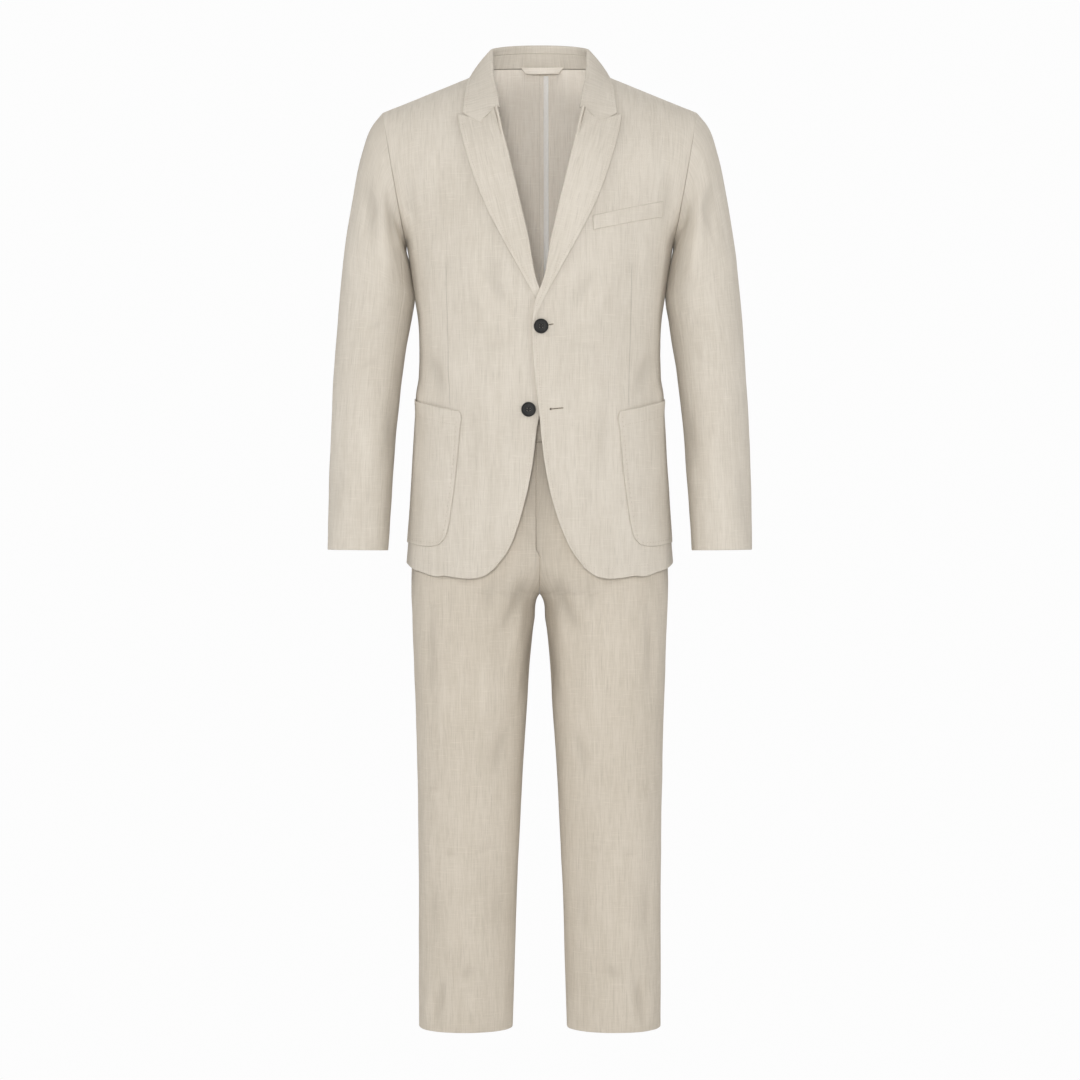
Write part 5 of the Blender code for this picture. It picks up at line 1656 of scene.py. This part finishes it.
def choose(mesh, wanted):
    """Select the faces of a mesh in edit mode by their middle and normal."""
    work = bmesh.from_edit_mesh(mesh)
    work.faces.ensure_lookup_table()
    for face in work.faces:
        face.select_set(bool(wanted(face.calc_center_median(), face.normal)))
    work.select_flush_mode()
    bmesh.update_edit_mesh(mesh)


def build_button(name, centre, material, thread, node):
    """A flat dished button with a rolled rim and four holes, its face to the front."""
    bpy.ops.object.select_all(action="DESELECT")
    bpy.ops.mesh.primitive_cylinder_add(vertices=72, radius=BUTTON_RADIUS * MM, depth=BUTTON_THICK * MM,
                                        location=(0, 0, 0), rotation=(math.pi / 2, 0, 0))
    button = bpy.context.object
    button.name = name
    bpy.ops.object.transform_apply(location=False, rotation=True, scale=True)
    bpy.ops.object.mode_set(mode="EDIT")
    bpy.context.tool_settings.mesh_select_mode = (False, False, True)
    front = -BUTTON_THICK / 2 * MM
    choose(button.data, lambda middle, normal: normal.y < -0.9 and middle.y < front * 0.9)
    bpy.ops.mesh.inset(thickness=1.5 * MM, depth=0.0)
    bpy.ops.mesh.inset(thickness=1.1 * MM, depth=-0.7 * MM)
    bpy.ops.mesh.inset(thickness=0.5 * MM, depth=0.12 * MM)
    bpy.ops.mesh.inset(thickness=2.2 * MM, depth=-0.25 * MM)
    choose(button.data, lambda middle, normal: normal.y > 0.9 and middle.y > 0)
    bpy.ops.mesh.inset(thickness=1.6 * MM, depth=0.5 * MM)
    bpy.ops.object.mode_set(mode="OBJECT")
    soft = button.modifiers.new("rim", "BEVEL")
    soft.width = 0.32 * MM
    soft.segments = 3
    soft.limit_method = "ANGLE"
    soft.angle_limit = math.radians(24)
    bpy.ops.object.modifier_apply(modifier="rim")
    for across in (-1, 1):
        for up in (-1, 1):
            bpy.ops.object.select_all(action="DESELECT")
            bpy.ops.mesh.primitive_cylinder_add(
                vertices=20, radius=HOLE_RADIUS * MM, depth=12 * MM, rotation=(math.pi / 2, 0, 0),
                location=(across * HOLE_SPACING / 2 * MM, 0, up * HOLE_SPACING / 2 * MM))
            drill = bpy.context.object
            bpy.ops.object.select_all(action="DESELECT")
            button.select_set(True)
            bpy.context.view_layer.objects.active = button
            cut = button.modifiers.new("hole", "BOOLEAN")
            cut.operation = "DIFFERENCE"
            cut.object = drill
            bpy.ops.object.modifier_apply(modifier="hole")
            bpy.data.objects.remove(drill)
    button.data.shade_smooth()
    bpy.ops.object.shade_smooth_by_angle(angle=math.radians(35))
    button.location = Vector(centre) * MM
    bpy.ops.object.transform_apply(location=True, rotation=False, scale=False)
    button.data.materials.clear()
    button.data.materials.append(material)
    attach(button, "root")
    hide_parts(node)
    centre = np.array(centre)
    paths = []
    for up in (-1, 1):
        z = up * HOLE_SPACING / 2
        share = np.linspace(-1, 1, 15)
        x = share * HOLE_SPACING / 2
        y = -BUTTON_THICK / 2 + 0.62 - 0.55 * (1 - share**2)
        paths.append(centre + np.stack((x, y, np.full_like(x, z)), axis=-1))
    for number, path in enumerate(paths):
        add_piece(f"{name}_thread_{number}", tube_mesh(f"{name}_thread_{number}", path, 0.55, 8, False),
                  thread, None)


def build_buttons(fronts, material, thread):
    left = on_front(fronts["left"][2], *TOP_BUTTON)[0]
    right = on_front(fronts["right"][2], -LOWER_BUTTON[0], LOWER_BUTTON[1])[0]
    for name, place, (x, z), node in (("top_button", left, TOP_BUTTON, "button_top"),
                                      ("lower_button", right, LOWER_BUTTON, "button_lower")):
        centre = (x, place[1] - BUTTON_LIFT - BUTTON_THICK / 2, z)
        build_button(name, centre, material, thread, node)


# Finishes
INPUT_NAMES = {
    "specular": "Specular IOR Level",
    "sheen": "Sheen Weight",
    "sheen_rough": "Sheen Roughness",
    "sheen_tint": "Sheen Tint",
}


def opaque(color, by=1.0):
    """A colour made lighter or darker, with full alpha."""
    return (*(min(1, part * by) for part in color), 1.0)


class Nodes:
    """A short way to set out and join a material's nodes."""

    def __init__(self, name):
        self.material = bpy.data.materials.new(name)
        self.material.use_nodes = True
        self.tree = self.material.node_tree
        self.shader = self.tree.nodes["Principled BSDF"]

    def add(self, kind, *inputs, **settings):
        node = self.tree.nodes.new("ShaderNode" + kind)
        for key, value in settings.items():
            setattr(node, key, value)
        for socket, value in zip(node.inputs, inputs):
            self.put(value, socket)
        return node

    def put(self, value, socket):
        if value is None:
            return
        if isinstance(value, bpy.types.NodeSocket):
            self.tree.links.new(value, socket)
        else:
            socket.default_value = value

    def math(self, operation, *inputs):
        return self.add("Math", *inputs, operation=operation).outputs[0]

    def noise(self, place, size_u, size_v, detail=2.0, rough=0.5, shift=0.0):
        """Noise stretched to a size in metres, across and along the threads."""
        mapped = self.add("Mapping", place)
        mapped.inputs["Scale"].default_value = (1 / size_u, 1 / size_v, 1.0)
        mapped.inputs["Location"].default_value = (shift, shift * 0.7, shift * 1.3)
        made = self.add("TexNoise")
        made.inputs["Scale"].default_value = 1.0
        made.inputs["Detail"].default_value = detail
        made.inputs["Roughness"].default_value = rough
        self.tree.links.new(mapped.outputs[0], made.inputs["Vector"])
        return made.outputs[0]

    def mix(self, share, first, second, blend="MIX"):
        node = self.tree.nodes.new("ShaderNodeMix")
        node.data_type = "RGBA"
        node.blend_type = blend
        self.put(share, node.inputs[0])
        self.put(first, node.inputs[6])
        self.put(second, node.inputs[7])
        return node.outputs[2]

    def bump(self, height, strength, distance):
        """Shade the surface as if lifted by a height, up to a distance in metres."""
        bumps = self.add("Bump")
        bumps.inputs["Strength"].default_value = strength
        bumps.inputs["Distance"].default_value = distance
        self.put(height, bumps.inputs["Height"])
        self.put(bumps.outputs[0], self.shader.inputs["Normal"])

    def look(self, color, rough, **others):
        """Set the shader's colour and roughness, and its other inputs by name."""
        self.put(color, self.shader.inputs["Base Color"])
        self.put(rough, self.shader.inputs["Roughness"])
        for word, value in others.items():
            self.put(value, self.shader.inputs[INPUT_NAMES[word]])

    def span(self, value, low, high, to_low=0.0, to_high=1.0):
        """Move a value from one span to another, smoothly and within its ends."""
        node = self.add("MapRange", value, low, high, to_low, to_high)
        node.interpolation_type = "SMOOTHSTEP"
        return node.outputs[0]


def linen_finish(name, light, tan, weave=0.8, bump=0.5, darts=()):
    """Plain linen: uneven threads, slubs along the grain, a fine weave and a soft nap, with painted shade in the
    fold hollows and along trim edges and a painted highlight on the fold crests.
    """
    made = Nodes(name)
    place = made.add("UVMap", uv_map="cloth").outputs[0]
    streaks = made.noise(place, 0.0014, 0.03, 4.0, 0.6, 1.3)
    broad = made.noise(place, 0.006, 0.11, 2.0, 0.5, 5.1)
    weft = made.noise(place, 0.018, 0.0013, 3.0, 0.6, 9.7)
    patch = made.noise(place, 0.11, 0.16, 1.0, 0.5, 2.2)
    slubs = made.noise(place, 0.0016, 0.032, 0.0, 0.5, 14.9)
    cross_slubs = made.noise(place, 0.026, 0.0015, 0.0, 0.5, 21.3)
    tone = made.math("MULTIPLY", streaks, 0.46)
    tone = made.math("MULTIPLY_ADD", broad, 0.16, tone)
    tone = made.math("MULTIPLY_ADD", weft, 0.18, tone)
    tone = made.math("MULTIPLY_ADD", patch, 0.2, tone)
    share = made.span(tone, 0.34, 0.66)
    color = made.mix(share, opaque(tan), opaque(light))
    dark_slub = made.span(slubs, 0.66, 0.78)
    color = made.mix(made.math("MULTIPLY", dark_slub, 0.3), color, opaque(tan, 0.8))
    pale_slub = made.span(cross_slubs, 0.68, 0.8)
    color = made.mix(made.math("MULTIPLY", pale_slub, 0.3), color, opaque(light, 1.1))
    # Painted shade darkens the fold hollows and a painted highlight lightens the fold crests, both read from the
    # crease attribute
    crease = made.add("Attribute", attribute_name="crease").outputs["Fac"]
    painted_shade_in_hollow = made.span(crease, -CREASE_DEEP, -0.3, 1.0, 0.0)
    crest = made.span(crease, 0.3, CREASE_DEEP)
    color = made.mix(made.math("MULTIPLY", painted_shade_in_hollow, 0.34), color, opaque(tan, 0.72))
    color = made.mix(made.math("MULTIPLY", crest, 0.3), color, opaque(light, 1.14))
    across, up, _ = made.add("SeparateXYZ", place).outputs
    pitch = 2 * math.pi / (weave * MM)
    wave_u = made.math("SINE", made.math("MULTIPLY", across, pitch))
    wave_v = made.math("SINE", made.math("MULTIPLY", up, pitch))
    threads = made.math("MULTIPLY", wave_u, wave_v)
    height = made.math("MULTIPLY_ADD", threads, 0.22, made.math("MULTIPLY", streaks, 0.7))
    height = made.math("MULTIPLY_ADD", weft, 0.5, height)
    height = made.math("MULTIPLY_ADD", dark_slub, 0.35, height)
    height = made.math("MULTIPLY_ADD", pale_slub, 0.35, height)
    for u0, v0, u1, v1 in darts:
        line = dart_line(made, across, up, u0, v0, u1, v1)
        height = made.math("MULTIPLY_ADD", line, -1.6, height)
        color = made.mix(made.math("MULTIPLY", line, 0.6), color, opaque(tan, 0.6))
    made.bump(height, bump, 0.00035)
    made.look(color, made.span(streaks, 0.3, 0.7, 0.95, 0.84), specular=0.18, sheen=0.16, sheen_rough=0.5,
              sheen_tint=opaque(light))
    return made.material


def dart_line(made, across, up, u0, v0, u1, v1):
    """One along a dart's seam, falling to nothing within a millimetre of it."""
    slope = (u1 - u0) / (v1 - v0)
    line_u = made.math("MULTIPLY_ADD", up, slope, u0 - v0 * slope)
    off = made.math("ABSOLUTE", made.math("SUBTRACT", across, line_u))
    near = made.span(off, 0.0, 0.0011, 1.0, 0.0)
    above = made.span(up, v0, v0 + 0.012)
    below = made.span(up, v1 - 0.02, v1, 1.0, 0.0)
    return made.math("MULTIPLY", near, made.math("MULTIPLY", above, below))


def thread_finish(name, color):
    """Matt sewing thread with a fine twist."""
    made = Nodes(name)
    place = made.add("TexCoord").outputs["Object"]
    twist = made.noise(place, 0.0005, 0.0005, 2.0, 0.6, 3.3)
    made.look(made.mix(made.span(twist, 0.35, 0.65), opaque(color, 0.8), opaque(color)), 0.8, specular=0.25)
    return made.material


def tape_finish(name):
    """White binding tape, finely woven."""
    made = Nodes(name)
    place = made.add("UVMap", uv_map="cloth").outputs[0]
    _, up, _ = made.add("SeparateXYZ", place).outputs
    rib = made.math("SINE", made.math("MULTIPLY", up, 2 * math.pi / 0.0007))
    grain = made.noise(place, 0.0008, 0.004, 2.0, 0.5, 4.4)
    color = made.mix(made.span(grain, 0.3, 0.7), (0.95, 0.935, 0.905, 1.0), (1.0, 0.985, 0.96, 1.0))
    made.bump(made.math("MULTIPLY_ADD", rib, 0.3, grain), 0.35, 0.0002)
    made.look(color, 0.75, sheen=0.1)
    return made.material


def button_finish(name):
    """Near-black horn, matt and faintly clouded, with fine scratches from wear."""
    made = Nodes(name)
    place = made.add("TexCoord").outputs["Object"]
    cloud = made.noise(place, 0.006, 0.012, 3.0, 0.6, 6.1)
    scratch = made.noise(place, 0.0003, 0.004, 2.0, 0.6, 8.8)
    color = made.mix(made.span(cloud, 0.35, 0.7), (0.007, 0.007, 0.0066, 1.0), (0.016, 0.0155, 0.0145, 1.0))
    made.bump(scratch, 0.12, 0.0001)
    made.look(color, made.span(scratch, 0.3, 0.75, 0.5, 0.64), specular=0.28)
    return made.material


def painted_shadow_finish(name):
    """Painted shadow: the dark fill set in a buttonhole's cut, standing in for the shade inside it."""
    made = Nodes(name)
    place = made.add("TexCoord").outputs["Object"]
    grain = made.noise(place, 0.0006, 0.0006, 2.0, 0.5, 7.7)
    made.look(made.mix(grain, (0.022, 0.018, 0.014, 1.0), (0.05, 0.04, 0.03, 1.0)), 0.95)
    return made.material


# Camera, floor and light
def set_stage():
    scene = bpy.context.scene
    camera_data = bpy.data.cameras.new("camera")
    camera_data.lens = CAMERA_LENS
    camera_data.sensor_width = CAMERA_SENSOR
    camera_data.clip_end = 400
    camera = bpy.data.objects.new("camera", camera_data)
    camera.location = CAMERA_PLACE
    camera.rotation_euler = (math.pi / 2, 0, 0)
    scene.collection.objects.link(camera)
    scene.camera = camera
    bpy.ops.object.select_all(action="DESELECT")
    bpy.ops.mesh.primitive_circle_add(vertices=96, radius=80, fill_type="NGON", location=(0, 0, FLOOR_Z))
    floor = bpy.context.object
    floor.name = "floor"
    bpy.ops.object.transform_apply(location=True)
    paper = Nodes("floor_paper")
    seen = paper.add("LightPath").outputs["Is Camera Ray"]
    paper.look((0.9, 0.9, 0.9, 1.0), 1.0, specular=0.0)
    glow = paper.add("Emission", (1.0, 1.0, 1.0, 1.0), BACKDROP_WHITE)
    blend = paper.add("MixShader", seen, paper.shader.outputs[0], glow.outputs[0])
    paper.tree.links.new(blend.outputs[0], paper.tree.nodes["Material Output"].inputs[0])
    floor.data.materials.append(paper.material)
    world = bpy.data.worlds.new("studio")
    world.use_nodes = True
    tree = world.node_tree
    seen = tree.nodes.new("ShaderNodeLightPath").outputs["Is Camera Ray"]
    strength = tree.nodes.new("ShaderNodeMapRange")
    tree.links.new(seen, strength.inputs["Value"])
    strength.inputs["To Min"].default_value = WORLD_STRENGTH
    strength.inputs["To Max"].default_value = BACKDROP_WHITE
    tree.nodes["Background"].inputs[0].default_value = (1.0, 1.0, 1.0, 1.0)
    tree.links.new(strength.outputs[0], tree.nodes["Background"].inputs[1])
    scene.world = world
    for name, place, size, power_watts, color in LIGHTS:
        lamp = bpy.data.lights.new(name, "AREA")
        lamp.shape = "DISK"
        lamp.size = size
        lamp.energy = power_watts
        lamp.color = color
        light = bpy.data.objects.new(name, lamp)
        light.location = place
        light.rotation_euler = (Vector((0.0, 0.0, -0.6)) - Vector(place)).to_track_quat("-Z", "Y").to_euler()
        light.visible_camera = False
        scene.collection.objects.link(light)
    scene.view_settings.view_transform = "Standard"
    scene.view_settings.look = "None"


TROUSER_FRONTS = {}
LAPELS = {}
POCKETS = {}
FALL = {}

set_stage()
jacket_linen = linen_finish("jacket_linen_cloth", (0.65, 0.602, 0.528), (0.555, 0.506, 0.432),
                            darts=FRONT_DARTS)
# Painted light: the jacket's inside faces and the hanger loop take the same linen painted much paler, standing in
# for light that reaches the inside
inside_linen_painted_light = linen_finish("jacket_linen_inside_painted_light", (0.93, 0.872, 0.785), (0.82, 0.755, 0.665))
trouser_linen = linen_finish("trouser_linen_cloth", (0.62, 0.562, 0.48), (0.518, 0.463, 0.382))
tape = tape_finish("binding_tape_weave")
thread = thread_finish("linen_thread", (0.52, 0.46, 0.375))
trouser_thread = thread_finish("trouser_thread", (0.5, 0.44, 0.36))
black_thread = thread_finish("button_thread", (0.03, 0.027, 0.024))
horn = button_finish("dark_horn")
cut_painted_shadow = painted_shadow_finish("cut_shadow")

fronts = build_fronts(jacket_linen, inside_linen_painted_light)
backs = build_backs(jacket_linen, inside_linen_painted_light, tape)
build_sleeves(jacket_linen)
build_trousers(trouser_linen)
build_waistband(trouser_linen)
build_lapels(fronts, jacket_linen)
body_tree = surface_tree([(fronts["left"][0], 1.0), (backs["left"][0], -1.0)])
build_collar(body_tree, jacket_linen)
build_pockets(fronts, jacket_linen)
build_breast_welt(fronts["left"][2], jacket_linen)
build_stitches(fronts, thread, trouser_thread)
build_buttonholes(fronts["left"][2], thread, cut_painted_shadow)
build_buttons(fronts, horn, black_thread)
